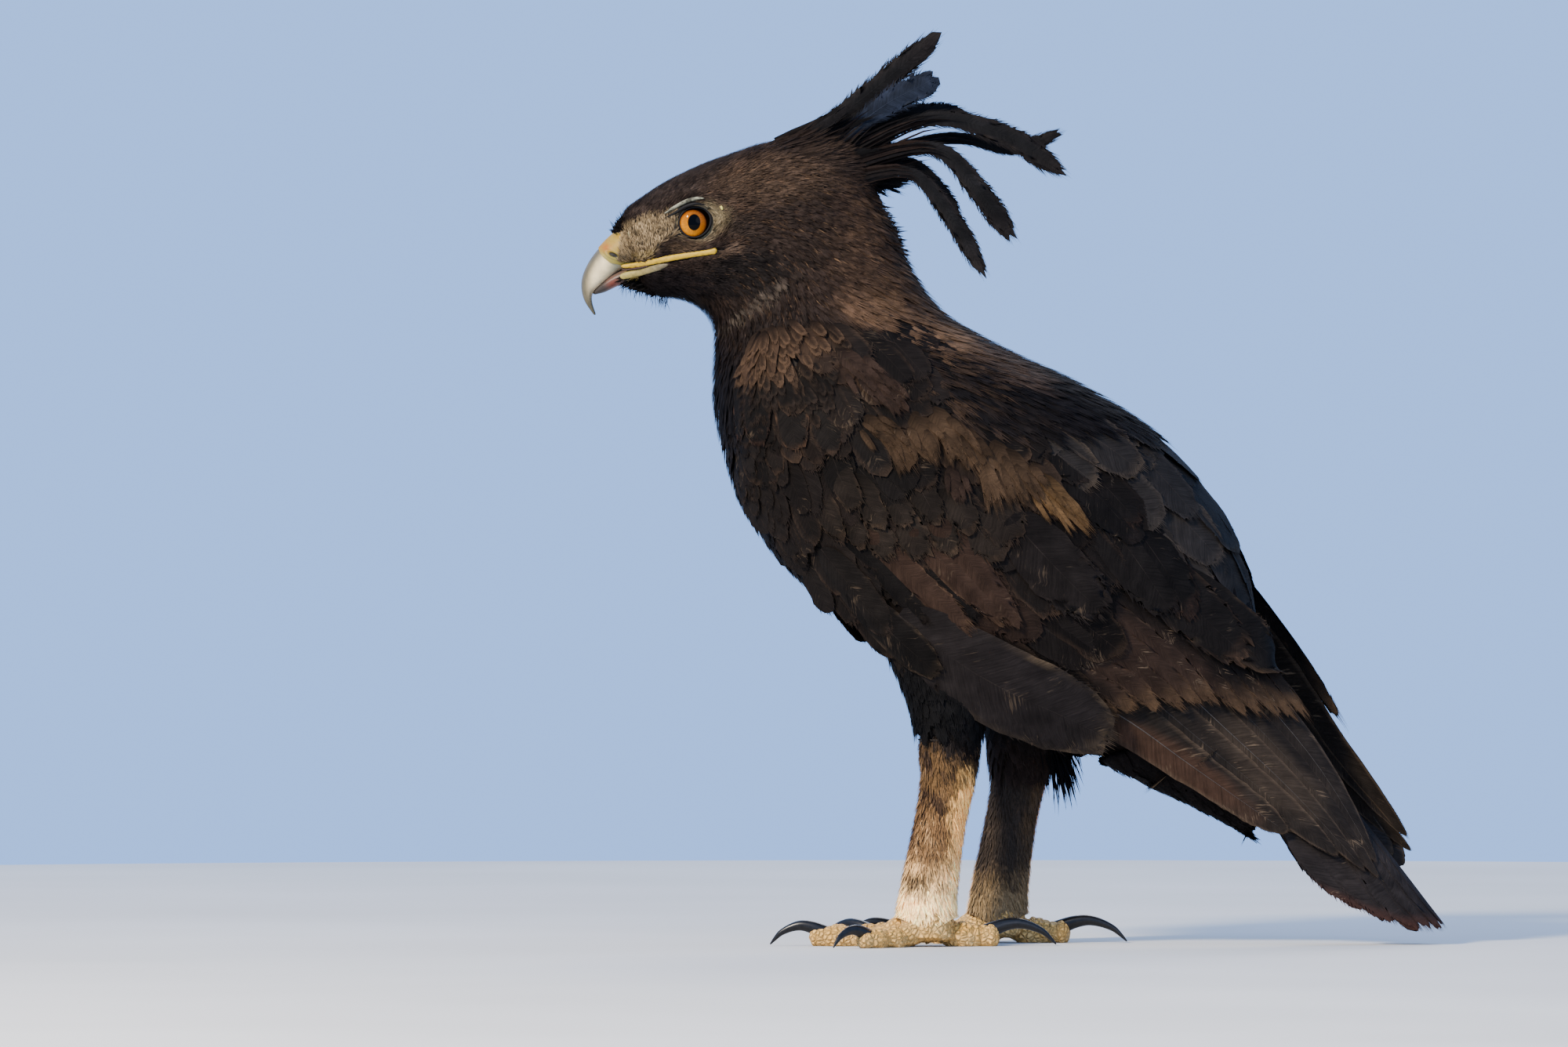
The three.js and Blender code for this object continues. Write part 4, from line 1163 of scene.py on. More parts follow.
def grow_bristles():
    """Stiff dark hairs over the cere's top and under the chin, and pale ones that fan from the lores."""
    coat = Coat("bristles", "plumage", hair_look)
    pattern = strand()
    bill = upper_bill(120, 97)
    p, q = scatter(bill, 0.34, (0.0, 0.3), (0, 1), dense=5)
    point, _, _, normal = bill.at(p, q)
    x, _, z = point.T
    back = (x > -180.4 + 0.2 * (z - 318)) & (z > 313.6 + 0.1 * (x + 180)) & (x < -171.0)
    p, q, point, normal = p[back], q[back], point[back], normal[back]
    crown = ease(324.0, 327.0, point[:, 2])
    way = mix(np.array([-0.5, 0, 0.9]), np.array([-0.8, 0, 0.45]), crown[:, None])
    way = way + rng.normal(0, 0.16, (len(p), 3))
    way = way - normal * np.sum(way * normal, -1, keepdims=True) + normal * 0.16
    length = 1.8 + 1.8 * rng.random(len(p)) + crown
    lines = hairs(point + normal * 1.0, way, length, p=p, q=q)
    lines.face(unit(normal[:, None] + rng.normal(0, 0.25, (len(p), 6, 3))))
    base = varied(mix(shade(176, 150, 110), shade(30, 25, 24), crown[:, None]), 0.3)
    base = mix(base, shade(60, 48, 36), (rng.random((len(p), 1)) < 0.3) * 0.75)
    coat.hair(lines, pattern, 0.24, base, 1.1, 0.75, 0.1, 0.5)
    # Forehead and chin: hairs that stand forwards over the cere's top and under the lower bill.
    # Each row: how many, the box they start in, their way, its spread, their least and greatest length,
    # half width and colour.
    dark, black, jet = shade(24, 20, 19), shade(20, 17, 16), shade(16, 14, 14)
    for count, box, heading, spread, length, half, colour in (
        (900, ((-184.2, -175.0), (-8.0, 8.0), (326.2, 338.0)), (-0.62, 0, 0.5), 0.2, (1.6, 3.8), 0.25, dark),
        (90, ((-183.0, -176.0), (-6.0, 6.0), (327.0, 336.0)), (-0.35, 0, 0.9), 0.2, (4.0, 7.0), 0.15, jet),
        (700, ((-180.5, -164.0), (-7.5, 7.5), (298.0, 307.0)), (-0.9, 0, -0.25), 0.2, (2.0, 4.0), 0.26, black),
        (150, ((-180.0, -158.0), (-5.0, 5.0), (294.0, 306.0)), (-0.1, 0, -0.9), 0.22, (4.0, 8.0), 0.11, jet),
    ):
        low, high = np.array(box).T
        root = low + (high - low) * rng.random((count * 4, 3))
        if heading[2] > 0:
            line = 326.4 + 1.18 * (root[:, 0] + 183.6)
            good = (root[:, 2] < line + 0.6) & (root[:, 2] > line - 5.0)
        else:
            line = 303.2 - 0.33 * (root[:, 0] + 181)
            good = (root[:, 2] > line + 0.6) & (root[:, 2] < line + 6.0)
        inside = (root[:, 1] / 8.5) ** 2 < rng.random(count * 4) + 0.35
        root = root[good & inside][:count]
        way = np.asarray(heading) + rng.normal(0, spread, (len(root), 3)) + root[:, 1:2] * [0, 0.035, 0]
        lines = hairs(root, way, mix(length[0], length[1], rng.random(len(root))))
        coat.hair(lines, pattern, half, varied(colour, 0.3, len(root)), root=0.85)
    coat.build()


def grow_neck():
    """Pointed hackles from the nape down over the neck and shoulders, streaked tan over dark brown."""
    coat = Coat("coat_neck", "plumage", feather_look)
    for low_p, high_p, gap in ((0.31, 0.47, 2.2), (0.43, 0.69, 3.0)):
        def keep(point):
            flank = (point[:, 2] < 250) | ((point[:, 0] < -110) & (point[:, 2] < 262))
            return ~under_wing(point) & ~flank

        p, q = scatter(body, gap, (low_p, high_p), (0, 1), keep)
        point, down, _, normal = body.at(p, q)
        count = len(p)
        t = ease(0.32, 0.56, p)
        length = mix(12, 33, t) * (0.8 + 0.4 * rng.random(count))
        way = neck_flow(point, down)
        side = unit(np.cross(normal, way))
        heading = way + side * rng.normal(0, 0.07, (count, 1))
        lines = walk(body, p, q, heading, length, 6, rng.normal(0, 0.08, count))
        half = mix(1.1, 2.1, t) * (0.75 + 0.5 * rng.random(count))
        pattern = together(leaf(7, 3, lance), fringe(5, 0.12, 0.55, 60))
        nape = ease(-85, -62, point[:, 0]) * (1 - ease(0.4, 0.5, p))
        high = 0.2 + 0.6 * rng.random(count) + nape * 4.0 * rng.random(count) ** 3
        points = lay(lines, pattern, half, -coat_depth(point) * 0.9, high, 0.3, ragged=0.4)
        base = varied(plumage(lines.point[:, 3]), 0.35)
        streak = noise(lines.point[:, 3] * [0.3, 1, 1.5], 4.0, 61)[:, None]
        shoulder = ease(-105, -70, point[:, 0:1]) * (1 - ease(-45, -10, point[:, 0:1]))
        edge = mix(base * 1.35, TAN * 0.8, np.clip(0.2 + 0.65 * streak, 0, 0.85) * shoulder)
        tint = dress(pattern, base, edge, root=0.5, start=0.3, strength=0.85)
        coat.add(lines, pattern, points, tint, half)
    coat.build()


# ---- Trunk ----
def back_row(coat, form, pattern, rows, gap, q_low, q_high, length, half, lifts, tone):
    """Big smooth feathers in staggered rows over the back, each row from p on, q across, the hindmost lowest."""
    all_p, all_q = [], []
    for k, row in enumerate(rows):
        count = max(1, int(round((q_high - q_low) / gap)))
        q = q_low + (np.arange(count) + 0.25 + 0.5 * (k % 2)) * gap
        all_q.append(q + rng.normal(0, 0.1 * gap, count))
        all_p.append(np.full(count, row) + rng.normal(0, 0.004, count))
    p, q = np.concatenate(all_p), np.concatenate(all_q)
    count = len(p)
    way = unit(form.at(p, q)[1]) + rng.normal(0, 0.05, (count, 3))
    lines = walk(form, p, q, way, length * (0.9 + 0.2 * rng.random(count)), 8)
    wide = half * (0.9 + 0.2 * rng.random(count))
    points = lay(lines, pattern, wide, lifts[0], lifts[1] + 0.5 * rng.random(count), 0.7, ragged=0.25)
    base = varied(tone(lines.point[:, 4]), 0.3)
    edge = mix(base * 1.6, shade(88, 74, 58), 0.75 * rng.random((count, 1)) ** 1.5)
    coat.add(lines, pattern, points, dress(pattern, base, edge, root=0.7, start=0.86, strength=0.8), wide)


def grow_trunk():
    """Smooth feathers on breast and belly, big black ones in rows over back and rump, dusty at their ends."""
    coat = Coat("coat_trunk", "plumage", feather_look)
    small = together(leaf(8, 5, broad), fringe(11, 0.08), shaft(5, 0.05, 0.08))
    large = together(leaf(14, 9, broad), fringe(45, 0.035), shaft(9, 0.03, 0.1))

    def keep(point):
        upper = point[:, 2] > 196 - 0.9 * (point[:, 0] + 20)
        return ~under_wing(point) & (~upper | (point[:, 2] < 178))

    p, q = scatter(body, 4.4, (0.5, 0.985), (0, 1), keep)
    point, down, _, normal = body.at(p, q)
    count = len(p)
    t = ease(0.5, 0.95, p)
    length = mix(19, 27, t) * (0.85 + 0.3 * rng.random(count))
    half = mix(4.6, 6.5, t) * (0.85 + 0.3 * rng.random(count))
    side = unit(np.cross(normal, down))
    heading = unit(down) + side * rng.normal(0, 0.07, (count, 1))
    lines = walk(body, p, q, heading, length, 7, rng.normal(0, 0.06, count))
    points = lay(lines, small, half, -4.6, 0.2 + 0.5 * rng.random(count), 0.6, ragged=0.5)
    base = varied(plumage(point), 0.25)
    edge = mix(base, shade(70, 54, 42), 0.25 * rng.random((count, 1)))
    coat.add(lines, small, points, dress(small, base, edge, start=0.7, strength=0.8), half)

    def black(point):
        return mix(shade(30, 28, 27), shade(48, 43, 39), (0.5 + 0.5 * noise(point, 14, 91))[:, None])

    # A close under-layer over the whole back, then the big feathers.
    under, over = np.arange(0.99, 0.56, -0.021), np.arange(0.94, 0.60, -0.042)
    back_row(coat, body, large, under, 0.033, -0.27, 0.27, 30, 7.5, (-4.4, -1.2), black)
    back_row(coat, body, large, over, 0.060, -0.25, 0.25, 58, 13.0, (-3.6, 0.2), black)
    coat.build()
    coat = Coat("coat_undertail", "plumage", feather_look)
    p, q = scatter(undertail, 4.2, (0.02, 0.66), (0, 1))
    down = undertail.at(p, q)[1]
    count = len(p)
    length, half = mix(24, 13, p) + 5 * rng.random(count), 3.4 + 1.2 * rng.random(count)
    heading = unit(down) + np.array([0.25, 0, -0.1]) + rng.normal(0, 0.06, (count, 3))
    lines = walk(undertail, p, q, heading, length, 5, rng.normal(0, 0.1, count))
    points = lay(lines, small, half, -2.8, 0.1 + 0.6 * rng.random(count), 0.7, ragged=0.6)
    base = varied(BLACKISH * 0.6, 0.25, count)
    coat.add(lines, small, points, dress(small, base, base * 1.5), half)
    coat.build()


# ---- Wings ----
wing_look = feather_finish("wing_coverts", barb=1.0, dust=0.35)
quill_look = feather_finish("flight_feathers", barb=1.1, dust=0.8, rough=0.6)
LESSER = (-105, 272.5, 28, 12, 20, shade(74, 56, 42), 0.9)
WING_PATCHES = [
    LESSER,
    (-70, 260, 17, 6, -30, shade(66, 49, 37), 0.7),
    (-39, 229, 24, 8, -14, shade(66, 50, 36), 0.5),
    (1, 214.5, 15, 10, -32, shade(70, 53, 38), 0.5),
    (-92, 232, 12, 20, -60, shade(42, 33, 27), 0.6),
    (-17.6, 160, 32, 14, -38, shade(50, 37, 29), 0.85),
    (-66, 188, 26, 12, -50, shade(36, 28, 24), 0.6),
    (14, 250, 18, 8, -40, shade(50, 37, 30), 0.6),
]
SECONDARY_PATCHES = [
    (62, 124, 88, 20, -35, shade(56, 42, 33), 0.9),
    (10, 160, 30, 18, -40, shade(54, 39, 30), 0.8),
]
PRIMARY_PATCHES = [
    (75, 82, 44, 9, -33, shade(72, 52, 40), 0.85),
    (118, 80, 34, 12, -45, shade(72, 60, 48), 0.6),
]
# Millimetres along a wing for a whole share of it, which space the rows of coverts.
WING_RUN = 208.0


def wing_colour(point, spots):
    """A wing's colour at places on it: near black, unevenly, with soft patches."""
    base = mix(shade(22, 19, 17), shade(35, 29, 25), (0.5 + 0.5 * noise(point, 20, 5))[..., None])
    return patches(point, base, spots)


def covert_rows(side, coat, first, last, gap, length, half, look, v_range, low, high):
    """Rows of coverts on a wing from one share of its length to another, each row half a feather out of step."""
    form = wings[side]
    rows = max(2, int(round((last - first) * WING_RUN / gap)))
    all_u, all_v = [], []
    for row in range(rows):
        u = mix(first, last, (row + 0.5) / rows)
        edge = form.at(np.full(30, u), np.linspace(0, 1, 30))[0]
        depth = np.linalg.norm(np.diff(edge, axis=0), axis=1).sum()
        count = int(round(depth * (v_range[1] - v_range[0]) / (half * 1.3)))
        v = mix(v_range[0], v_range[1], (np.arange(count) + 0.25 + 0.5 * (row % 2)) / count)
        all_v.append(v + rng.normal(0, 0.2 / count, count))
        all_u.append(np.full(count, u) + rng.normal(0, 0.24 * gap / WING_RUN, count))
    u, v = np.concatenate(all_u), np.clip(np.concatenate(all_v), 0.005, 0.995)
    u = np.clip(u, 0.004, 1)
    count = len(u)
    turn = np.radians(lie_of_coverts(u, v) + rng.normal(0, 6, count))
    heading = np.stack([np.cos(turn), 0 * turn, np.sin(turn)], 1)
    reach = length * (0.85 + 0.3 * rng.random(count))
    lines = walk(form, u, v, heading, reach, 6, rng.normal(0, 0.07, count))
    wide = half * (0.85 + 0.3 * rng.random(count))
    pattern = look["pattern"]
    high = high + 0.3 * rng.random(count)
    points = lay(lines, pattern, wide, low, high, look["camber"], ragged=look["ragged"])
    own = wing_colour(lines.point[:, 4], WING_PATCHES)[:, None]
    shift = (lines.way[:, 3] * rng.normal(0, 1.5, (count, 1)))[:, None]
    seen = mix(wing_colour(points + shift, WING_PATCHES), own, 0.55)
    seen = seen * (1 + 0.3 * (rng.random((count, 1, 1)) * 2 - 1))
    share, rim = pattern.share[None, :, None], np.clip(pattern.rim, 0, 1)[None, :, None]
    lit = look["edge_share"] * rng.random((count, 1, 1)) ** look["choosy"]
    if "patch" in look:
        x, z, *shape = look["patch"]
        far = oval(lines.point[:, 4, 0] - x, lines.point[:, 4, 2] - z, *shape)
        lit = lit * (1 - 0.85 * ease(0.8, 1.15, far)[:, None, None])
    edge = mix(seen * 1.25, look["edge"], lit)
    last_part = ease(0.76 + look["start"] * 0.16, 1.0, share)
    near = np.maximum(ease(look["start"], 1.0, rim) * ease(0.25, 0.6, share), last_part)
    # Painted shade: each covert is darker towards its root, where the rows above cover it.
    tint = mix(seen * look["dark"], edge, near * look["strength"]) * mix(0.6, 1, ease(0, 0.4, share))
    coat.add(lines, pattern, points, on_shaft(pattern, tint, shade(70, 60, 52), 0.15), wide)


def lie_of_coverts(u, v):
    """Degrees from straight back: down and forwards on the shoulder, steep behind it, flatter along the arm."""
    return -mix(mix(mix(78, 112, v), mix(70, 58, v), ease(0.02, 0.14, u)), 44, ease(0.14, 0.5, u))


def set_feathers(coat, form, side, pattern, rows, camber=1.0, ragged=0.3, root=0.8):
    """Feathers set one by one, a row of numbers for each, darker towards their roots as painted shade under the
    others.

    Root x, z, angle in degrees, length, half width, lifts of root and tip, colours of vane and edge.
    """
    p, q = nearest(form, [r[0] for r in rows], [r[1] for r in rows], side)
    turn = np.radians([r[2] for r in rows])
    heading = np.stack([np.cos(turn), 0 * turn, np.sin(turn)], 1)
    length, half, low, high = np.array([r[3:7] for r in rows], float).T
    lines = walk(form, p, q, heading, length, 8, rng.normal(0, 0.05, len(rows)))
    points = lay(lines, pattern, half, low, high, camber, ragged=ragged)
    base, edge = (np.array([r[k] for r in rows]) for k in (7, 8))
    tint = dress(pattern, base, edge, root=root, start=0.86, strength=0.85, mottle=0.1)
    worn = 0.2 + 0.8 * ease(-0.1, 0.5, noise(points, 2.4, 19))[..., None]
    # Worn places show the plain vane, which also darkens towards its root as painted shade.
    tint = mix(base[:, None] * mix(root, 1, ease(0, 0.45, pattern.share))[None, :, None], tint, worn)
    patchy = 1 + 0.35 * noise(points, 7.0, 17)[..., None]
    coat.add(lines, pattern, points, tint * patchy, half)


def tufted(coat, form, side, rows):
    """Soft worn feathers: each is a vane under seven pointed locks that fan out and hang past its end."""
    vane = together(leaf(10, 7, broad), fringe(41, 0.2, 0.5))
    set_feathers(coat, form, side, vane, rows, camber=0.7, ragged=0.9, root=0.3)
    lock = together(leaf(7, 3, lance), fringe(7, 0.2, 0.5, 60))
    locks = []
    for x, z, angle, length, half, low, high, colour, _ in rows:
        c, s = np.cos(np.radians(angle)), np.sin(np.radians(angle))
        for k in np.linspace(-1, 1, 7):
            along, out = length * rng.uniform(0.3, 0.55), half * 0.8 * k
            spot = (x + c * along - s * out, z + s * along + c * out)
            one = angle + 9 * k + rng.normal(0, 4)
            tone = colour * rng.uniform(0.7, 1.25)
            size = length * rng.uniform(0.45, 0.62), half * rng.uniform(0.26, 0.4)
            locks.append((*spot, one, *size, low + 0.6, high + 0.5, tone, tone * 1.2))
    set_feathers(coat, form, side, lock, locks, camber=0.25, ragged=0.7, root=0.5)


def grow_coverts(side, word):
    """Rows of coverts over a wing, then its larger feathers, set one by one from the shoulder back."""
    coat = Coat(f"coverts_{word}", "wing_coverts", wing_look)
    vane = together(leaf(12, 9, broad), fringe(45, 0.035), shaft(6, 0.03, 0.06))
    small = together(leaf(8, 7, broad), fringe(25, 0.05), shaft(5, 0.03, 0.05))
    tiny = together(leaf(7, 5, broad), fringe(9, 0.14, 0.5, 75))
    big = {
        "pattern": vane, "camber": 0.3, "ragged": 0.3, "dark": 0.9, "edge": shade(88, 68, 51),
        "edge_share": 0.6, "choosy": 2.0, "start": 0.86, "strength": 0.8,
    }
    under = dict(big, edge_share=0.1)
    middling = dict(big, pattern=small, camber=0.25, ragged=0.4, edge_share=0.55)
    scaled = dict(
        middling, pattern=tiny, edge=shade(100, 77, 57), edge_share=0.85, choosy=0.4, start=0.2, strength=0.9,
        dark=0.42, camber=0.4, patch=(-105, 272.5, 28, 13, 20),
    )
    # Each run of rows: from, to, gap, length, half width, look, range across, lifts of root and tip.
    for run in (
        (0.03, 0.50, 11, 32, 9.5, under, (0.06, 1.0), -2.5, -1.4),
        (0.36, 0.50, 14, 46, 12.0, big, (0.2, 1.0), -1.9, -0.5),
        (0.24, 0.40, 13, 36, 9.6, big, (0.0, 1.0), -1.9, -0.2),
        (0.12, 0.29, 9.5, 26, 7.2, middling, (0.0, 1.0), -1.7, 0.1),
        (0.0, 0.12, 4.4, 12.5, 2.3, scaled, (0.47, 1.0), -1.5, 0.5),
        (0.12, 0.21, 4.4, 12.5, 2.3, scaled, (0.62, 1.0), -1.5, 0.5),
        (0.0, 0.14, 7.0, 19, 5.4, middling, (0.0, 0.5), -1.6, 0.3),
    ):
        covert_rows(side, coat, *run)
    form, over = wings[side], mantles[side]
    black, deep, rust = shade(23, 20, 18), shade(29, 25, 22), shade(70, 51, 40)
    long = together(leaf(20, 11, broad), fringe(71, 0.022), shaft(14, 0.022, 0.15))
    # The dark feathers below the shoulder patch, with a tan edge on the hindmost.
    set_feathers(coat, form, side, long, [
        (-127, 258, -96, 26, 6.5, -1.2, 0.8, black, shade(86, 60, 44)),
        (-118, 262, -92, 33, 8.0, -1.2, 0.9, black, shade(66, 48, 38)),
        (-105, 262, -84, 36, 8.5, -1.3, 0.7, deep, shade(92, 68, 50)),
        (-92, 258, -80, 34, 8.0, -1.3, 0.6, deep, shade(70, 54, 42)),
    ], camber=0.5)
    # Warm brown feathers behind the shoulder patch, then the bleached chain down the middle of the wing.
    # Each: root x, z, angle, length, half width, colour and its strength.
    warm, bleached, gold = shade(52, 39, 31), shade(77, 59, 42), shade(97, 73, 46)
    rows = []
    for x, z, angle, length, half, colour, strength in (
        (-79, 271, -46, 22, 5.0, warm, 1), (-71, 267, -50, 24, 5.0, warm, 1), (-63, 263, -56, 22, 4.5, warm, 0.9),
        (-72, 243, -44, 18, 4.0, bleached, 0.55), (-60, 243, -60, 26, 5.5, bleached, 0.7),
        (-49, 244, -66, 22, 6.0, bleached, 0.7), (-40, 245, -62, 24, 6.0, bleached, 0.85),
        (-32, 243, -62, 26, 6.0, bleached, 0.8), (-25, 238, -60, 18, 5.0, bleached, 0.6),
        (-17, 233, -74, 31, 5.5, bleached, 1.05), (-11, 230, -66, 29, 6.0, bleached, 0.9),
        (-3, 225, -60, 22, 5.5, bleached, 0.75), (4, 217, -52, 26, 4.2, gold, 0.9),
        (9, 215, -50, 30, 4.2, gold, 1), (-28, 219, -76, 15, 3.8, warm, 1),
    ):
        rows.append((x, z, angle, length, half, 0.0, 1.1, colour * strength, colour * strength * 1.15))
    tufted(coat, form, side, rows)
    # Scapulars from the shoulder back along the wing's upper edge: large and black, some with reddish ends.
    rows = []
    for x, z, angle, length, half, colour, edge in (
        (66, 173, -32, 80, 13, deep, shade(92, 72, 52)), (48, 185, -37, 84, 14.5, deep, shade(84, 64, 48)),
        (28, 210, -50, 70, 14, deep, shade(40, 33, 29)), (36, 212, -49, 74, 13, black, rust),
        (12, 228, -46, 58, 12, black, shade(36, 30, 27)), (18, 232, -42, 56, 10, deep, rust),
        (-8, 246, -38, 52, 11, black, shade(44, 36, 31)), (2, 252, -37, 46, 9, black, rust * 1.15),
        (-22, 262, -37, 46, 8, shade(46, 34, 28), rust * 0.9), (-34, 262, -38, 44, 11, shade(40, 30, 26), rust * 1.1),
        (-46, 270, -36, 48, 11, shade(48, 36, 29), rust), (-60, 272, -38, 42, 11, black, shade(48, 38, 32)),
        (-72, 282, -25, 55, 12, black, shade(46, 36, 31)), (-84, 290, -20, 50, 11.5, black, shade(56, 42, 34)),
    ):
        rows.append((x, z, angle, length, half, 0.1, 1.5, colour, edge))
    set_feathers(coat, over, side, long, rows, camber=1.0, ragged=0.35)
    # The reddish greater coverts and the dark ones among and behind them.
    reddish = shade(58, 43, 34)
    set_feathers(coat, form, side, long, [
        (-82, 190, -42, 60, 6.0, 0.0, 0.9, black, shade(60, 47, 37)),
        (-71, 191, -43, 66, 7.0, 0.3, 1.3, reddish, shade(94, 72, 53)),
        (-59, 190, -45, 62, 7.0, -0.8, 0.2, black, shade(34, 28, 25)),
        (-46, 191, -45, 60, 7.0, 0.3, 1.2, reddish, shade(92, 71, 52)),
        (-36, 194, -48, 62, 7.5, 0.4, 1.3, reddish * 0.95, shade(72, 55, 42)),
        (-4, 198, -48, 62, 15, 0.6, 1.6, shade(34, 29, 26), shade(50, 42, 36)),
    ], camber=1.3, ragged=0.45, root=0.55)
    # Coverts whose soft fringed ends lie over the reddish feathers' roots.
    brown = shade(42, 35, 29)
    rows = [
        (-96, 210, -58, 26, 7.5), (-88, 222, -56, 26, 7.0), (-84, 206, -56, 26, 7.5), (-76, 216, -56, 27, 7.5),
        (-70, 202, -54, 28, 8.0), (-64, 214, -58, 25, 7.0), (-57, 204, -54, 30, 8.5), (-50, 216, -60, 24, 7.0),
        (-44, 205, -56, 28, 8.0), (-36, 214, -62, 26, 8.0), (-30, 205, -54, 34, 9.5), (-16, 212, -62, 34, 11.5),
    ]
    set_feathers(coat, form, side, vane, [
        (*row, -1.6, 1.3, brown * rng.uniform(0.6, 1.0), shade(76, 60, 46) * rng.uniform(0.6, 1.0)) for row in rows
    ], camber=0.4, ragged=0.6, root=0.35)
    # The great dark feather that hangs at the lower edge, and the two in front of it.
    set_feathers(coat, form, side, long, [
        (-52, 152, -36.5, 118, 21.5, 0.6, 2.8, shade(40, 35, 33), shade(98, 82, 63)),
        (-78, 163, -36, 56, 10.5, 0.8, 2.4, black, shade(80, 66, 51)),
        (-90, 182, -50, 50, 10.0, 0.6, 1.6, deep, shade(66, 53, 43)),
    ], camber=1.6, ragged=0.16)
    coat.build()


class Long:
    """Long feathers laid along a form between two places, with a share of its width to each side."""

    def __init__(self, form, start, end, breadth):
        self.form, self.start, self.end = form, np.asarray(start, float), np.asarray(end, float)
        self.breadth = np.asarray(breadth, float)
        s = np.linspace(0, 1, 12)[None, :, None]
        path = self.start[:, None] * (1 - s) + self.end[:, None] * s
        centre = form.at(path[..., 0], path[..., 1])[0]
        self.length = np.linalg.norm(np.diff(centre, axis=1), axis=2).sum(axis=1)
        self.p, self.q = self.start[:, 0], self.start[:, 1]

    def lay(self, pattern, low, high, camber, ragged):
        """The pattern's points: the feather's middle line runs evenly from start to end over the form."""
        count = len(self.start)
        share = np.broadcast_to(pattern.share, (count, len(pattern.share))).copy()
        across = np.broadcast_to(pattern.across, share.shape).copy()
        loose = np.clip(pattern.rim, 0, 1) ** 3 * ease(0.3, 0.7, pattern.share)
        across = across * (1 - ragged * loose * rng.random(share.shape))
        share = share + ragged * 0.12 * loose * (rng.random(share.shape) - 0.5)
        p = mix(self.start[:, 0:1], self.end[:, 0:1], share)
        q = mix(self.start[:, 1:2], self.end[:, 1:2], share) + across * self.breadth[:, None]
        point, _, _, normal = self.form.at(p, q)
        low, high = (np.broadcast_to(np.asarray(x, float), (count,))[:, None] for x in (low, high))
        up = low + (high - low) * share - camber * across**2 + pattern.lift
        return point + normal * up[..., None]


def grow_quills(side, word):
    """Secondaries over primaries, the lowest feather of each row on top of the next one's edge."""
    form = wings[side]
    # Painted shade: the far wing's quills are made a little darker than the near wing's.
    painted_far_shade = 1.0 if side < 0 else 0.95
    coat = Coat(f"secondaries_{word}", "quills", quill_look)
    vane = together(doubled(leaf(26, 9, quill_vane, 1.6), 0.5), fringe(81, 0.018, 0.86, 88), shaft(16, 0.02, 0.12))
    count = 13
    v = (np.arange(count) + 0.5) / count
    tip = mix(0.575, 0.852, v) - (0.03 if side < 0 else 0) * ease(0.75, 1.0, v) + rng.normal(0, 0.005, count)
    start = np.stack([np.full(count, 0.36), mix(0.1, 0.98, v)], 1)
    end = np.stack([tip, np.clip(v, 0.04, 0.96)], 1)
    long = Long(form, start, end, np.full(count, 0.066))
    order = np.linspace(0.3, 0.0, count)
    points = long.lay(vane, -2.9 + order * 0.6, -1.2 + order, 0.35, 0.55)
    base = wing_colour(points, SECONDARY_PATCHES) * (1 + 0.12 * rng.normal(0, 1, (count, 1, 1)))
    base = base * (1 + 0.3 * noise(points, 3.0, 73)[..., None])
    last = ease(0.88, 1.0, vane.share)[None, :, None] * ease(-30, 60, points[..., 0:1])
    last = last * (0.75 + 0.45 * noise(points, 2.2, 71)[..., None])
    tint = mix(base, shade(104, 80, 57), 0.85 * np.clip(last, 0, 1))
    worn = ease(-0.1, 0.5, noise(points, 4, 72))[..., None]
    outer = ease(0.85, 1.0, np.clip(vane.rim, 0, 1))[None, :, None] * worn
    tint = mix(tint, shade(84, 66, 49), 0.5 * outer * ease(0.4, 0.7, vane.share)[None, :, None])
    tint = on_shaft(vane, tint, shade(60, 50, 44), 0.1) * painted_far_shade
    coat.add(long, vane, points, tint, 12.0, patch=(0.07, 0.3), spot=np.stack([v, np.full(count, 0.5)], 1))
    coat.build()
    coat = Coat(f"primary_feathers_{word}", "quills", quill_look, (f"primaries_{word}",))
    tips = np.array(PRIMARIES["tips"])
    many = len(tips)
    v = (np.arange(many) + 0.5) / many
    vane = together(doubled(leaf(30, 9, quill_vane, 1.6), 0.6), fringe(41, 0.008, 0.9, 86), shaft(20, 0.03, 0.3))
    start = np.stack([np.full(many, PRIMARIES["root"] - 0.04), mix(0.12, 0.9, v)], 1)
    end = np.stack([tips - 0.002, mix(0.09, 0.9, v)], 1)
    long = Long(form, start, end, np.full(many, 0.13))
    order = np.linspace(0.9, -0.9, many)
    points = long.lay(vane, -6.3 + order * 0.5, -3.2 + order * 0.7, 0.5, 0.1)
    base = mix(shade(34, 30, 27), shade(52, 44, 37), (0.5 + 0.5 * noise(points, 12, 8))[..., None])
    base = base * (1 + 0.25 * noise(points, 4.0, 74)[..., None])
    base = patches(points, base, PRIMARY_PATCHES)
    outer = ease(0.86, 1.0, vane.rim)[None, :, None] * ease(0.3, 0.6, vane.share)[None, :, None]
    tint = mix(base, shade(104, 86, 68), 0.5 * outer)
    thin = np.where(np.arange(many) % 2 == 0, 1.0, 0.3)[:, None, None]
    tint = on_shaft(vane, tint, shade(92, 88, 84), 0.8 * thin) * painted_far_shade
    coat.add(long, vane, points, tint, 9.0, patch=(0.16, 0.5), spot=np.stack([v, np.full(many, 0.5)], 1))
    if side > 0:
        # The far wing's longest feathers lie against the tail; their grey, lighter than the rest of the wing, is
        # painted light where the near wing shades them.
        pattern = together(doubled(leaf(26, 9, quill_vane, 1.6), 0.6), shaft(14, 0.03, 0.3))
        grey, pale = shade(60, 57, 58), shade(104, 90, 74)
        set_feathers(coat, form, side, pattern, [
            (129, 103, -56.5, 80, 8, -3.0, -4.0, grey, pale),
            (142, 101, -62.5, 77, 6.5, -1.5, -2.5, grey, pale),
            (124, 126, -56, 79, 6.5, -0.5, -1.0, shade(62, 59, 60), pale),
        ], camber=0.5, ragged=0.05)
    coat.build()


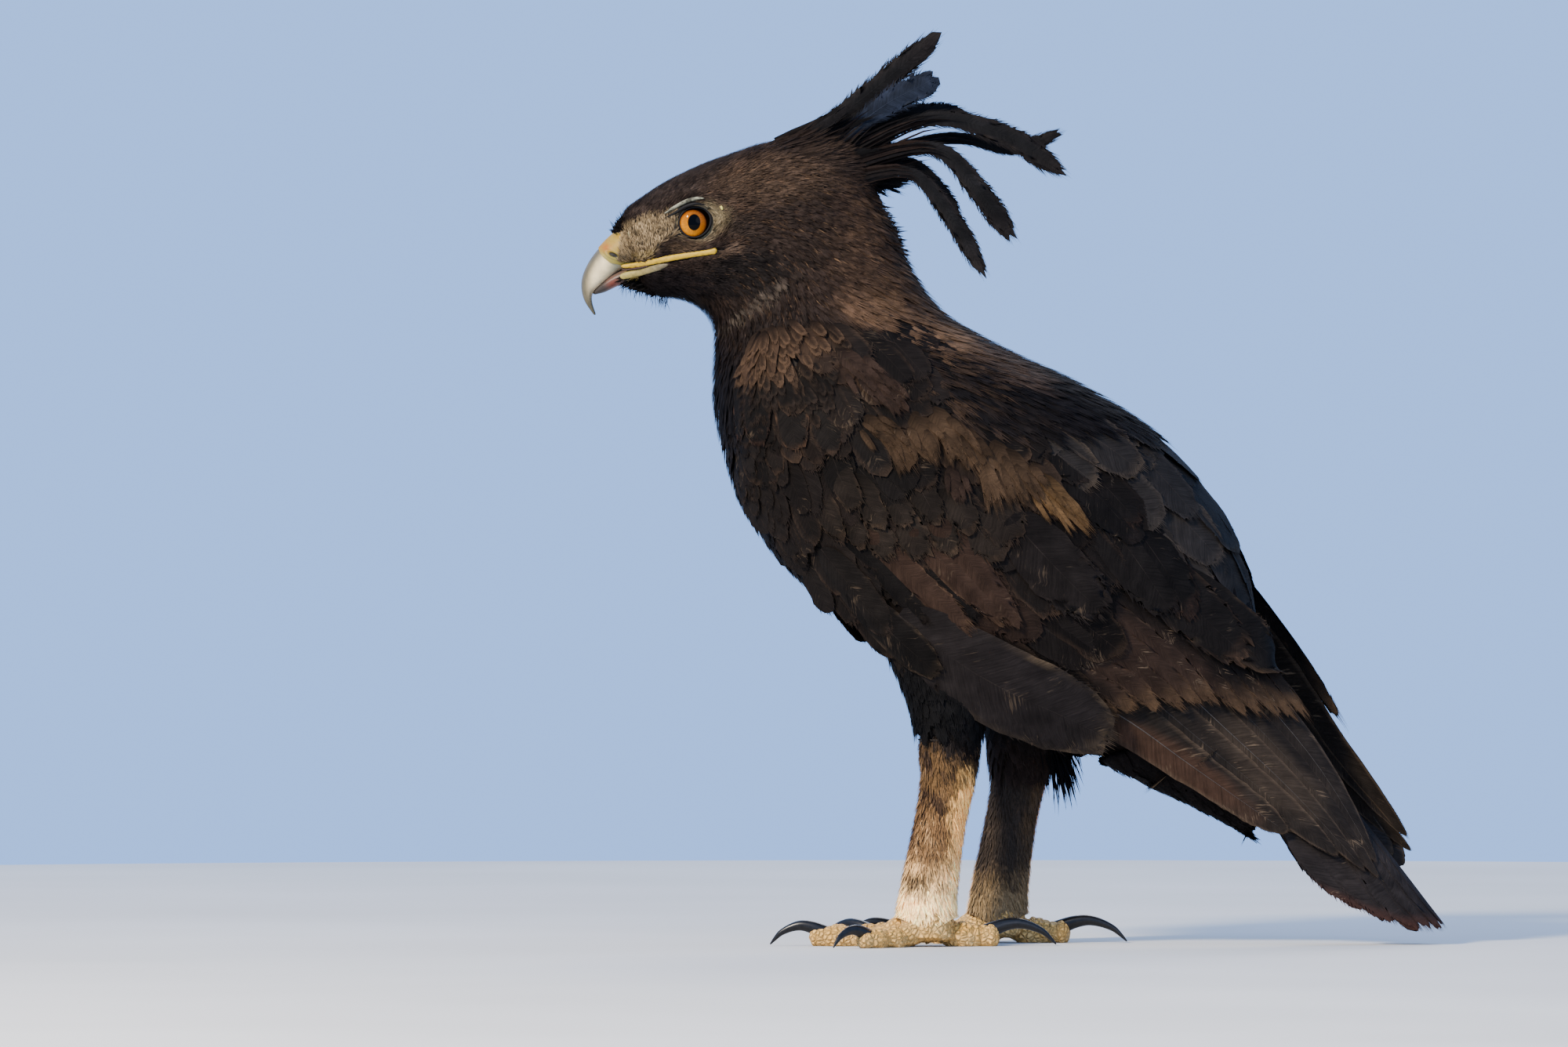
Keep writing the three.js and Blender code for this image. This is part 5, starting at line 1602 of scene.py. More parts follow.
# ---- Tail ----
def grow_tail():
    """Twelve long feathers on the roof, the middle ones on top, with worn reddish ends."""
    coat = Coat("tail_feathers", "quills", quill_look, ("tail",))
    vane = together(doubled(leaf(30, 9, quill_vane, 1.6), 0.6), fringe(35, 0.02, 0.88, 86), shaft(20, 0.03, 0.35))
    count = 12
    v = (np.arange(count) + 0.5) / count
    place = np.abs(2 * v - 1)
    start = np.stack([np.full(count, 0.02), mix(0.5, v, 0.75)], 1)
    end = np.stack([np.full(count, 0.985) + rng.normal(0, 0.008, count), np.clip(v, 0.06, 0.94)], 1)
    long = Long(tail, start, end, np.full(count, 0.085))
    points = long.lay(vane, mix(0.6, -1.6, place), mix(0.9, -1.4, place), 0.4, 0.25)
    base = mix(shade(38, 34, 33), shade(56, 49, 45), (0.5 + 0.5 * noise(points, 14, 9))[..., None])
    base = base * (1 + 0.25 * noise(points, 4.0, 75)[..., None])
    last = ease(0.955, 1.0, vane.share)[None, :, None]
    tint = mix(base, shade(104, 66, 52), 0.7 * last * (0.4 + 0.6 * rng.random((count, 1, 1))))
    tint = on_shaft(vane, tint, shade(76, 66, 58), 0.3)
    coat.add(long, vane, points, tint, 9.0, patch=(0.07, 0.5), spot=np.stack([v, np.full(count, 0.5)], 1))
    coat.build()


# ---- Crest ----
def grow_crest():
    """Each crest feather is a vane on a shaft, narrow at its base, widest near its end, with loose barbs."""
    for i, (path, across, half) in enumerate(CREST):
        line = np.array([[x, across * (1 + 0.1 * k if k else 1), z] for k, (x, z) in enumerate(path)], float)
        point = curve(line, np.linspace(0, 1, 25))
        way = unit(np.gradient(point, axis=0))
        normal = in_surface(np.array([0.0, -1.0, 0.0]), way)
        length = np.linalg.norm(np.diff(point, axis=0), axis=1).sum()
        place = np.array([0.5]), np.array([(i + 0.5) / len(CREST)])
        lines = Lines(point[None], way[None], normal[None], [length], *place)
        blunt = 6.0 if i < 2 else 2.2

        def outline(s, blunt=blunt):
            end = np.sqrt(np.maximum(0.0, 1 - np.maximum(0, (s - 0.8) / 0.2) ** blunt))
            return end * mix(0.42, 1, ease(0.1, 0.7, s))

        loose = barbed(int(length * 1.6), 0.13, 0.9)
        loose.share = np.minimum(loose.share, 0.985)
        reach = mix(1.1, 1.28, ease(0.5, 0.1, loose.share)) * (0.86 + 0.28 * rng.random(len(loose.share)))
        loose.across = np.sign(loose.across) * loose.rim * outline(loose.share) * reach
        loose = doubled(loose, 0.25)
        vane = leaf(40, 11, lambda s: outline(s) * 0.84, 1.1)
        pattern = together(doubled(vane, 0.5), fringe(45, 0.03, 0.8, 88), loose, shaft(18, 0.05, 0.25))
        points = lay(lines, pattern, half * 1.06, 0, 0, 0.9, ragged=0.3)
        # The second feather's blue-grey tint is a painted reflection of the sky on a blackish feather.
        blue = i == 1
        base = np.array([shade(27, 31, 40) if blue else shade(22, 21, 21)])
        edge = np.array([shade(34, 39, 51) if blue else shade(34, 29, 27)])
        look = painted_sheen_look if blue else crest_look
        tint = dress(pattern, base, edge, root=0.9, start=0.3, strength=0.7)
        tint = tint * (1 + 0.4 * noise(points, 5.0, 81)[..., None])
        tint = np.where((pattern.rim < 0)[None, :, None], base[:, None] * 1.3, tint)
        coat = Coat(f"crest_{i + 1}", "crest", look, (f"crest_feather_{i + 1}",))
        coat.add(lines, pattern, points, tint, np.array([half]), patch=(0.9, 0.9), spot=np.array([[0.5, 0.5]]))
        coat.build()


def grow_crest_base():
    """Hair-like feathers from the crown along the crest's roots, so that it springs from the head."""
    coat = Coat("crest_base", "crest", hair_look)
    pattern = leaf(5, 2, lambda s: 1 - 0.75 * s, 1.0)
    for i, (path, across, half) in enumerate(CREST):
        count = 110
        line = np.array([[x, across, z] for x, z in path], float)
        first = line[0] - unit(line[1] - line[0]) * 10 - [0, 0, 4]
        line = np.vstack([first, line])
        start, reach = 0.26 * rng.random(count), 0.2 + 0.22 * rng.random(count)
        s = start[:, None] + reach[:, None] * np.linspace(0, 1, 8)
        path_points = curve(line, s)
        way = unit(np.gradient(path_points, axis=1))
        off = rng.normal(0, 0.55, (count, 2)) * [half * 0.9, 3.2]
        up = unit(np.cross(way, np.array([0, 1.0, 0])))
        spread = (1 - 0.45 * np.linspace(0, 1, 8))[None, :, None]
        lateral = np.array([0, 1.0, 0])
        place = path_points + up * off[:, 0, None, None] * spread + lateral * off[:, 1, None, None] * spread
        way = unit(np.gradient(place, axis=1))
        facing = unit(rng.normal(0, 0.5, (count, 1, 3)) + np.array([0, -1.0, 0]))
        normal = in_surface(facing, way)
        length = np.linalg.norm(np.diff(place, axis=1), axis=2).sum(axis=1)
        lines = Lines(place, way, normal, length, np.full(count, (i + 0.5) / len(CREST)), rng.random(count))
        wide = 0.5 + 0.7 * rng.random(count)
        base = mix(shade(20, 18, 18), shade(46, 34, 27), rng.random((count, 1)) ** 2)
        coat.hair(lines, pattern, wide, base, root=0.9)
    # Short dark feathers that fill the fan between the long ones.
    vane = together(leaf(12, 5, lance), fringe(15, 0.1, 0.55, 80))
    count = 46
    fan = np.linspace(0, 1, count)
    root = np.stack([mix(-104, -76, fan ** 0.8), rng.normal(0, 4.5, count), mix(366, 352, fan)], 1)
    root = root + rng.normal(0, 1.5, (count, 3))
    turn = np.radians(mix(38, -6, fan) + rng.normal(0, 5, count))
    way = np.stack([np.cos(turn), rng.normal(0, 0.06, count), np.sin(turn)], 1)
    length = mix(44, 24, np.abs(fan - 0.25) / 0.75) * (0.75 + 0.4 * rng.random(count))
    lines = hairs(root, way, length, (0, 0, -0.06), fan, 0.5, 8)
    lines.face(unit(lines.normal + np.array([0, -2.0, 0])))
    wide = 1.8 + 1.8 * rng.random(count)
    coat.hair(lines, vane, wide, varied(shade(20, 18, 18), 0.4, count), 1.6, camber=0.4, ragged=0.8)
    # Crown feathers reaching up to the foremost crest feather, so that the crown's line runs on into it.
    p, q = scatter(body, 1.2, (0.12, 0.34), (0, 1))
    point = body.at(p, q)[0]
    good = (point[:, 0] > -124) & (point[:, 0] < -78) & (np.abs(point[:, 1]) < 13) & (point[:, 2] > 350)
    p, q = repeated(p[good], q[good], 2)
    point, _, _, normal = body.at(p, q)
    count = len(p)
    rise = mix(14, 33, ease(-122, -100, point[:, 0]))
    rise = rise * rng.uniform(0.15, 1.0, count)
    turn = np.radians(mix(rise, 2, ease(372, 350, point[:, 2])) + rng.normal(0, 3, count))
    heading = np.stack([np.cos(turn), 0.05 * rng.normal(0, 1, count), np.sin(turn)], 1)
    length = mix(9, 24, ease(-122, -100, point[:, 0])) * (0.6 + 0.5 * rng.random(count))
    lines = hairs(point - normal * 1.5, heading, length, (0, 0, 0.06), p, q)
    wide = 0.45 + 0.45 * rng.random(count)
    coat.hair(lines, pattern, wide, varied(plumage(point), 0.3), root=0.9)
    # Soft hairs over the crest's roots, so that the head's round end runs on into it.
    p, q = scatter(body, 1.1, (0.18, 0.42), (0, 1))
    point = body.at(p, q)[0]
    good = (point[:, 0] > -102) & (point[:, 2] > 342) & (np.abs(point[:, 1]) < 27)
    p, q = repeated(p[good], q[good], 2)
    point, _, _, normal = body.at(p, q)
    count = len(p)
    turn = np.radians(mix(-24, 20, ease(343, 369, point[:, 2])) + rng.normal(0, 7, count))
    heading = np.stack([np.cos(turn), -0.012 * point[:, 1], np.sin(turn)], 1)
    reach = mix(4, 15, ease(346, 362, point[:, 2])) * rng.uniform(0.6, 1.1, count)
    lines = hairs(point - normal * 1.2, heading, reach, (0, 0, -0.05), p, q)
    lines.face(unit(lines.normal + np.sign(point[:, 1])[:, None, None] * [0, 2.0, 0]))
    wide = 0.4 + 0.4 * rng.random(count)
    base = varied(mix(plumage(point), shade(40, 31, 25), 0.5), 0.5)
    coat.hair(lines, pattern, wide, base, 1.3, root=0.8)
    # A short feather under the crest, and spiky tufts at the nape.
    count = 16
    root = np.array([-74, 0, 356]) + rng.normal(0, 1, (count, 3)) * [2, 3.5, 2.2]
    way = np.array([0.9, 0, -0.44]) + rng.normal(0, 0.06, (count, 3))
    lines = hairs(root, way, rng.uniform(17, 26, count), (0, 0, 0.05))
    coat.hair(lines, vane, 1.9, varied(shade(22, 19, 18), 0.4, count), 2.2, camber=0.3, ragged=0.8)
    count = 260
    high = rng.uniform(318, 352, count)
    nape = np.interp(high, [314, 334, 359], [-52.5, -60.5, -76.5])
    root = np.stack([nape, rng.normal(0, 7, count), high], 1)
    way = np.array([0.85, 0, -0.5]) + rng.normal(0, 0.16, (count, 3))
    lines = hairs(root - np.array([1.5, 0, 0]), way, 5 + 6 * rng.random(count) ** 2, (0.05, 0, 0.15))
    coat.hair(lines, pattern, 0.65, varied(shade(40, 30, 24), 0.5, count))
    coat.build()


crest_look = feather_finish("crest_feathers", barb=1.0, rough=0.6, depth=0.8)
# The finish for the second crest feather, whose blue-grey tint is a painted sky reflection.
painted_sheen_look = feather_finish("crest_feather_painted_sheen", barb=1.0, rough=0.6, depth=0.9)


# ---- Legs ----
def grow_legs():
    """Loose feathers on the thighs, short tufts down the shanks, and long dark hairs off the right thigh."""
    thigh_pattern = together(leaf(7, 5, broad), fringe(11, 0.14, 0.55))
    for side, word in SIDES:
        coat = Coat(f"coat_thigh_{word}", "plumage", feather_look)

        def keep(point, side=side):
            behind = np.clip(past_shank(point, backs[side]) / 16, -1, 1)
            short = point[:, 2] + rng.uniform(-5, 5, len(point)) < 107 - 7 * behind
            return ~under_wing(point, 4.0) & ~(short & (side < 0))

        p, q = scatter(thighs[side], 3.0, (0.05, 0.97), (0, 1), keep)
        point, down = thighs[side].at(p, q)[:2]
        count = len(p)
        heading = unit(down) + np.array([0.12, 0, 0]) + rng.normal(0, 0.06, (count, 3))
        length, half = 16 + 7 * rng.random(count), 2.6 + 1.0 * rng.random(count)
        lines = walk(thighs[side], p, q, heading, length, 5, rng.normal(0, 0.1, count))
        end = mix(-1.3, 0.3, ease(100, 122, point[:, 2])) if side < 0 else 0.2
        points = lay(lines, thigh_pattern, half, -2.8, end + 0.4 * rng.random(count), 0.3, ragged=0.8)
        # Painted light: the right thigh's feathers and edges are made lighter, standing in for light where the body
        # shades them.
        painted_light, edge = (1.0, 1.3) if side < 0 else (1.5, 2.0)
        base = mix(shade(18, 17, 17), shade(34, 26, 22), (1 - ease(98, 116, point[:, 2:3])))
        base = varied(base, 0.25) * painted_light
        coat.add(lines, thigh_pattern, points, dress(thigh_pattern, base, base * edge), half)
        coat.build()
        coat = Coat(f"coat_shank_{word}", "shank_feathers", shank_look)
        p, q = scatter(shanks[side], 1.25, (0.02, 0.985), (0, 1), lambda point: point[:, 2] > 13.0)
        p, q = repeated(p, q, 3)
        point, down = shanks[side].at(p, q)[:2]
        count = len(p)
        heading = unit(down) + rng.normal(0, 0.16, (count, 3)) + [0.22, 0, 0]
        low = ease(30, 14, point[:, 2])
        length = mix(8.0, 9.0, low) * (0.7 + 0.6 * rng.random(count))
        half = 0.5 * (0.7 + 0.6 * rng.random(count))
        lines = walk(shanks[side], p, q, heading, length, 4, rng.normal(0, 0.2, count))
        pattern = strand()
        points = lay(lines, pattern, half, -0.9, 0.2 + 1.5 * rng.random(count) ** 3 + 1.2 * low, 0.0)
        centre = -40.5 + backs[side]
        level = 8.6 + 4.4 * np.minimum(1, ((points[..., 0] - centre) / 12) ** 2)
        points[..., 2] = np.maximum(points[..., 2], level)
        base = varied(shank_colour(point), 0.18)
        coat.add(lines, pattern, points, dress(pattern, base, base * 1.15, root=0.65), half)
        coat.build()
    coat = Coat("thigh_tuft", "plumage", hair_look)
    count = 150
    form = thighs[1]
    p, q = 0.6 + 0.34 * rng.random(count), 0.5 + 0.09 * rng.normal(0, 1, count)
    point = form.at(p, q)[0]
    length = 18 + 18 * rng.random(count)
    way = np.array([0.36, 0, -0.92]) + rng.normal(0, 0.1, (count, 3))
    lines = hairs(point, way, length, (-0.12, 0, -0.02), p, q)
    pattern = leaf(4, 2, lambda s: 1 - 0.7 * s, 1.0)
    wide = 0.4 + 0.5 * rng.random(count)
    coat.hair(lines, pattern, wide, varied(shade(18, 17, 19), 0.3, count), low=-1.5)
    coat.build()


# ---- Eyes, lids and brows ----
def surface_y(x, z, side):
    """How far out the head's surface lies at places in the side view."""
    return np.abs(body.at(*nearest(body, x, z, side))[0][:, 1])


def eye_folds(side):
    """The lid's dark rim, the ring of bare skin round it, the pale ridge of the brow and a dark line under it as its
    painted shadow, for one eye.

    The rings are drawn out to a corner in front, by max(0, cos)^3 of the turn from it; the folds are tubes.
    """

    def ring(radius, wide, high, sink, back):
        def place(p, q):
            turn = 2 * np.pi * q
            roll = 2 * np.pi * p
            corner = np.maximum(0, np.cos(turn - np.radians(30))) ** 3
            r = radius + back * corner + wide * (1 + 0.9 * corner) * np.cos(roll)
            ball = np.sqrt(np.maximum(1, EYE["radius"] ** 2 - np.minimum(radius + back * corner, 9.6) ** 2))
            y = EYE["y"] + ball - sink + high * np.sin(roll)
            return np.stack([EYE["x"] + r * np.cos(turn), side * y, EYE["z"] + r * np.sin(turn) * 0.98], -1)

        return Form(place, 25, 97, closed=True)

    def dark(points):
        return shade(14, 13, 13) + 0 * points

    def olive(points):
        wave = noise(points, 1.1, 21)[:, None]
        return mix(shade(62, 58, 44), shade(122, 114, 80), 0.5 + 0.5 * wave)

    def pale(points):
        return mix(shade(54, 52, 42), shade(132, 130, 108), ease(-0.5, 0.4, noise(points, 0.9, 22))[:, None])

    def lemon(points):
        return shade(206, 190, 96) + 0 * points

    def along(xs, zs, out, thick, tint, rows=40, end=0.1):
        y = surface_y(xs, zs, side) + out
        line = np.stack([np.array(xs, float), side * y, np.array(zs, float)], 1)
        return tube(line, thick, rows, 16, end), tint

    def hump(wide, high):
        """Half width and height along a fold: its greatest times sin(pi s)^0.8, and a little more."""
        def thick(s):
            swell = np.sin(np.pi * np.clip(s, 0, 1)) ** 0.8
            return wide * swell + 0.1, high * swell + 0.08

        return thick

    brow = [-161.2, -156.2, -149.7, -144.4, -142.0], [334.8, 337.9, 341.1, 342.2, 341.9]
    # The dark line under the brow is a painted shadow of the brow ridge.
    brow_shadow = [-160.2, -155.3, -150.7, -146, -141.5], [333.2, 335.7, 338.4, 339.6, 338.9]
    fleck = [-134.7, -133.9], [338.6, 336.7]
    return [
        (ring(6.9, 0.55, 0.45, 0.0, 0.9), dark),
        (ring(7.9, 0.5, 0.5, 0.25, 1.1), olive),
        along(*brow, 0.45, hump(0.8, 0.8), pale),
        along(*brow_shadow, 0.2, hump(0.7, 0.75), dark),
        along(*fleck, 0.5, lambda s: (0.6 + 0 * s, 0.55 + 0 * s), lemon, 12, 0.4),
    ]


def eye_finish(side):
    """Black pupil, orange iris that is yellower below and in front and darker above and behind, partly painted shade
    of the brow, a dark rim that is wider above and behind as painted shadow, and a wet clear coat.
    """
    f = Finish("eye_left" if side < 0 else "eye_right")
    across, _, up = f.split(f.place())
    x = f.maths("SUBTRACT", across, (EYE["x"] + SHIFT[0]) * MM)
    z = f.maths("SUBTRACT", up, EYE["z"] * MM)
    rays = f.join(f.maths("ARCTAN2", z, x), f.maths("MULTIPLY", f.far(x, z), 90))
    fibres = f.grain(rays, 7.0, 4.0)
    # The iris darkens above and behind: partly its own colour, partly painted shade of the brow.
    tilt = f.maths("MULTIPLY_ADD", f.maths("ADD", x, f.maths("MULTIPLY", z, 1.1)), 62, 0.5, clamp=True)
    warm = f.ramp(tilt, [(0.0, (0.44, 0.16, 0.001)), (0.5, (0.28, 0.078, 0.001)), (1.0, (0.15, 0.045, 0.006))])
    # Painted shadow: the dark rim is drawn wider above and behind, as the brow's shadow over the eye.
    shaded = f.far(f.maths("ADD", x, 0.0005), f.maths("ADD", z, 0.0004))
    white, black = (1, 1, 1), (0, 0, 0)
    edge = [(0.0, white), (0.5, white), (0.575, (0.6, 0.5, 0.4)), (0.62, (0.01, 0.01, 0.01))]
    colour = f.blend(1.0, warm, f.ramp(f.maths("MULTIPLY", shaded, 100), edge), "MULTIPLY")
    colour = f.lit(colour, f.maths("MULTIPLY_ADD", fibres, 0.9, 0.5))
    slit = f.far(f.maths("MULTIPLY", x, 1.3), z)
    pupil = f.ramp(f.maths("MULTIPLY", slit, 100), [(0.0, black), (0.365, black), (0.385, white)])
    colour = f.blend(pupil, (0.0008, 0.0008, 0.001, 1), colour)
    return f.finish(colour, Roughness=0.5, Specular_IOR_Level=0.0, Coat_Weight=0.14, Coat_Roughness=0.03)


def build_eyes():
    """Each eyeball is a ball round its own middle, with its poles inwards and outwards."""
    for side, word in SIDES:
        def place(p, q, side=side):
            lean, turn, r = np.pi * p, 2 * np.pi * q, EYE["radius"]
            x, z = EYE["x"] + r * np.sin(lean) * np.cos(turn), EYE["z"] + r * np.sin(lean) * np.sin(turn)
            return np.stack([x, side * EYE["y"] - side * r * np.cos(lean), z], -1)

        points, triangles = closed_form(Form(place, 49, 65, closed=True))
        mesh_piece(f"eyeball_{word}", points, triangles, eye_finish(side), replaces=(f"eye_{word}",))


# ---- Bill and cere ----
def tinted_finish(name, grain=900.0, rough=0.4, bump=0.0002, detail=0.35, spec=0.5):
    """A finish whose colours come with the mesh, broken up by fine grain."""
    f = Finish(name)
    tint = f.node("ShaderNodeAttribute", attribute_name="tint")
    fine = f.grain(f.place(), grain, 5.0, 0.6)
    colour = f.lit(tint, f.maths("MULTIPLY_ADD", fine, detail * 2, 1 - detail))
    return f.finish(colour, fine, bump, 0.4, Roughness=rough, Specular_IOR_Level=spec)


def bill_colour(points):
    """Pale horn on the sides, paler towards the front partly as a painted highlight, dark grey along the ridge and at
    the hook, pinkish along the cutting edge.
    """
    x, z = points[:, 0], points[:, 2]

    def gap(k):
        """Distance in the side view from the line through the stations' numbers k and k + 1."""
        line = curve(np.array([[s[k], s[k + 1]] for s in UPPER_BILL], float), np.linspace(0, 1, 60))
        return np.min(np.hypot(x[:, None] - line[:, 0], z[:, None] - line[:, 1]), axis=1)

    gap_top, gap_under = gap(0), gap(2)
    # Paler towards the front: partly the horn's own colour and partly a painted highlight.
    colour = mix(shade(156, 150, 120), shade(230, 208, 160), ease(-183, -189, x)[:, None])
    pink = (1 - ease(0.4, 2.4, gap_under))[:, None] * 0.5 * ease(293, 300, z)[:, None]
    colour = mix(colour, shade(122, 84, 62), pink)
    colour = mix(colour, shade(38, 41, 35), (1 - ease(1.2, 6.5, gap_top))[:, None] * 0.9)
    colour = mix(colour, shade(62, 60, 46), (1 - ease(290, 299, z))[:, None] * 0.75)
    streak = noise(points * [1, 1, 0.35], 2.0, 31) + 0.5 * noise(points * [1, 1, 0.3], 0.8, 32)
    return colour * (1 + 0.14 * streak)[:, None]


def upper_bill(rows, columns):
    """The upper bill's loft as a form."""
    return Form(loft(UPPER_BILL, 0.04, 0.03, 2.1), rows, columns, closed=True)


def build_bill():
    """The bill's two halves are lofts in horn, the lower one darker towards its tip and edge."""
    horn = tinted_finish("horn", grain=500.0, rough=0.38, detail=0.18, spec=0.22)
    flat, triangles = closed_form(upper_bill(130, 65))
    mesh_piece("bill_top", flat, triangles, horn, tints=bill_colour(flat), replaces=("bill_upper",))
    flat, triangles = closed_form(Form(loft(LOWER_BILL, 0.06, 0.06, 2.1), 80, 49, closed=True))
    front = ease(-175, -180, flat[:, 0])[:, None]
    tint = mix(shade(130, 110, 50), shade(84, 68, 58), front)
    red = np.exp(-(((flat[:, 0] + 184.0) / 3.4) ** 2) - ((flat[:, 2] - 303.0) / 2.6) ** 2)[:, None]
    tint = mix(tint, shade(112, 50, 36), 0.85 * red)
    tint = mix(tint, shade(44, 40, 36), (ease(-185, -189.5, flat[:, 0]) * 0.9)[:, None])
    tint = mix(tint, shade(60, 52, 44), (ease(301.5, 298.5, flat[:, 2]) * 0.6)[:, None])
    mesh_piece("bill_under", flat, triangles, horn, tints=tint, replaces=("bill_lower",))


def build_cere():
    """The cere is a shell over the bill's root with a low rounded edge and a nostril painted black as its hole's
    shade; tubes edge the mouth.
    """
    smooth_bill = upper_bill(200, 97)

    # For each line along the bill, the share at which it leaves the cere's outline in the side view.
    shares, around = np.linspace(0.02, 0.5, 200), np.linspace(0, 1, 201)
    at = smooth_bill.at(shares[:, None] + 0 * around, around + 0 * shares[:, None])[0]
    front = -190.6
    limit = [front, -189.8, -188.4, -185.5, -179.8, -174], [319.2, 317, 315.3, 313, 312, 311.4]
    inside = (at[..., 0] > front) & (at[..., 2] > np.interp(at[..., 0], *limit))
    reach = np.where(inside.all(axis=0), 0.5, shares[np.argmin(inside, axis=0)])
    reach = np.convolve(np.pad(np.maximum(reach, 0.05)[:-1], 4, mode="wrap"), np.full(9, 1 / 9), mode="valid")
    reach = np.append(reach, reach[0])

    def edge(q):
        return np.interp(q % 1.0, around, reach)

    def nostril_gap(x, z):
        return oval(x - NOSTRIL[0] - 0.6, z - NOSTRIL[1] + 0.9, 2.6, 1.05, -23)

    def place(p, q):
        along = 0.02 + (edge(q) - 0.02) * np.minimum(p / 0.92, 1)
        point, _, _, normal = smooth_bill.at(along, q)
        lift = np.where(p < 0.92, 0.5, 0.5 * np.cos((p - 0.92) / 0.08 * np.pi))
        lift = lift * np.where(p < 0.06, rounded(p + 1e-4, 0.06), 1)
        top = np.cos(np.pi * q) ** 2
        lift = lift + 0.9 * top**2 * ease(0, 0.2, p) * (1 - ease(0.35, 0.95, p))
        r = nostril_gap(point[..., 0], point[..., 2])
        lift = lift + 0.35 * np.exp(-(((r - 1.4) / 0.35) ** 2))
        lift = mix(0.1, lift, ease(0.55, 1.1, r))
        return point + normal * lift[..., None]

    flat, triangles = closed_form(Form(place, 120, 201, closed=True))
    x, z = flat[:, 0], flat[:, 2]
    blotch = noise(flat, 1.4, 34)[:, None]
    tint = mix(shade(142, 108, 14), shade(120, 116, 56), (ease(320.5, 315, z) * 0.85)[:, None])
    tint = mix(tint, shade(150, 130, 56), 0.25 + 0.25 * blotch)
    orange = np.exp(-(((x + 187.5) / 2.2) ** 2) - ((z - 320.0) / 2.0) ** 2)[:, None]
    tint = mix(tint, shade(150, 84, 14), orange * 0.85)
    # Painted shade: the nostril is coloured near black for the shade inside its opening.
    tint = mix(tint, shade(10, 10, 8), (1 - ease(0.7, 1.08, nostril_gap(x, z)))[:, None] * 0.98)
    cere = Shell()
    cere.add(flat, triangles, tint)
    lemon, cream, shadow = shade(168, 134, 22), shade(142, 126, 60), shade(52, 32, 24)
    upper_lip = [
        (-180.5, 311.3), (-175.5, 311.6), (-169.1, 312.6), (-162.2, 313.9), (-155.3, 315.2), (-146.1, 316.6),
        (-140, 317.4), (-136.4, 318.2),
    ]
    slit = [(-180.2, 309.7), (-176.5, 309.9), (-172, 310.5), (-168, 311.2)]
    lower_lip = [(-181.0, 306.5), (-173.5, 308.1), (-167.6, 309.6), (-162.6, 310.9), (-158.6, 312.0)]
    upper_high = [0, 0.15, 0.5, 0.8, 0.95, 1], [0.8, 1.15, 1.4, 1.2, 1.35, 1.0]
    lower_high = [0, 0.1, 0.35, 0.75, 1], [1.2, 1.6, 1.7, 1.5, 0.6]
    for side, _ in SIDES:
        # Each edge of the mouth: path, how far out, half width, half heights along it, colours of its ends.
        for path, out, wide, highs, colours in (
            (upper_lip, 0.0, 0.9, upper_high, (lemon, lemon)),
            (slit, -0.1, 0.6, ([0, 1], [0.45, 0.45]), (shadow, shadow)),
            (lower_lip, -0.2, 0.9, lower_high, (cream, shade(92, 82, 60))),
        ):
            def thick(s, wide=wide, highs=highs):
                return wide + 0 * s, np.interp(s, *highs)

            path_x, path_z = np.array(path).T
            y = surface_y(path_x, path_z, side) + out
            y = np.maximum(y, np.interp(path_x, [-181, -172], [8.4, 10.0]))
            y = np.convolve(np.pad(y, 1, mode="edge"), [0.25, 0.5, 0.25], mode="valid")
            lip = tube(np.stack([path_x, side * y, path_z], 1), thick, 90, 24, 0.05)
            flat, triangles = closed_form(lip)
            flat = flat + noise(flat, 1.4, 35)[:, None] * 0.12
            t = ease(path_x[0], path_x[-1], flat[:, 0])[:, None]
            cere.add(flat, triangles, mix(*colours, t) * (1 + 0.22 * noise(flat, 1.1, 33))[:, None])
    look = tinted_finish("cere_skin", grain=1500.0, rough=0.5, bump=0.0003, detail=0.25, spec=0.3)
    cere.build("cere_and_gape", "cere", look, ("cere",))


# ---- Feet ----
def toe_point(side, toe, share):
    """A toe leaves the ankle, comes down to the floor by 0.45 of its length and runs along it."""
    turn = np.radians(TOES[toe][0])
    out = share * TOES[toe][1]
    drop = np.minimum(1, share / 0.45)
    x = ANKLE[0] + backs[side] - out * np.cos(turn)
    y = side * (HALF_STANCE - out * np.sin(turn))
    return np.stack([x, y + 0 * x, mix(ANKLE[1], TOES[toe][2] * 0.74, ease(0, 1, drop))], -1)


def foot_finish():
    """Rough yellow scales: small round ones from cell noise, darker in the creases."""
    f = Finish("toe_scales")
    tint = f.node("ShaderNodeAttribute", attribute_name="tint")
    place = f.place()
    cells = f.tree.nodes.new("ShaderNodeTexVoronoi")
    cells.feature = "DISTANCE_TO_EDGE"
    cells.inputs["Scale"].default_value = 430.0
    f.tree.links.new(place, cells.inputs["Vector"])
    raised = f.ramp(cells.outputs["Distance"], [(0.0, (0, 0, 0)), (0.3, (1, 1, 1))])
    grain = f.grain(place, 1500.0, 4.0)
    light = f.maths("MULTIPLY_ADD", raised, 0.45, 0.6)
    colour = f.lit(tint, f.maths("MULTIPLY", light, f.maths("MULTIPLY_ADD", grain, 0.7, 0.7)))
    height = f.maths("ADD", raised, f.maths("MULTIPLY", grain, 0.4))
    return f.finish(colour, height, 0.001, 1.0, Roughness=0.6, Specular_IOR_Level=0.25)


# The line along a claw's middle: shares of its length forwards, and heights in toe heights.
CLAW_ARCH = [(-0.16, 0.72), (0.0, 0.95), (0.2, 1.18), (0.42, 1.28), (0.64, 1.14), (0.86, 0.82), (1.0, 0.42)]


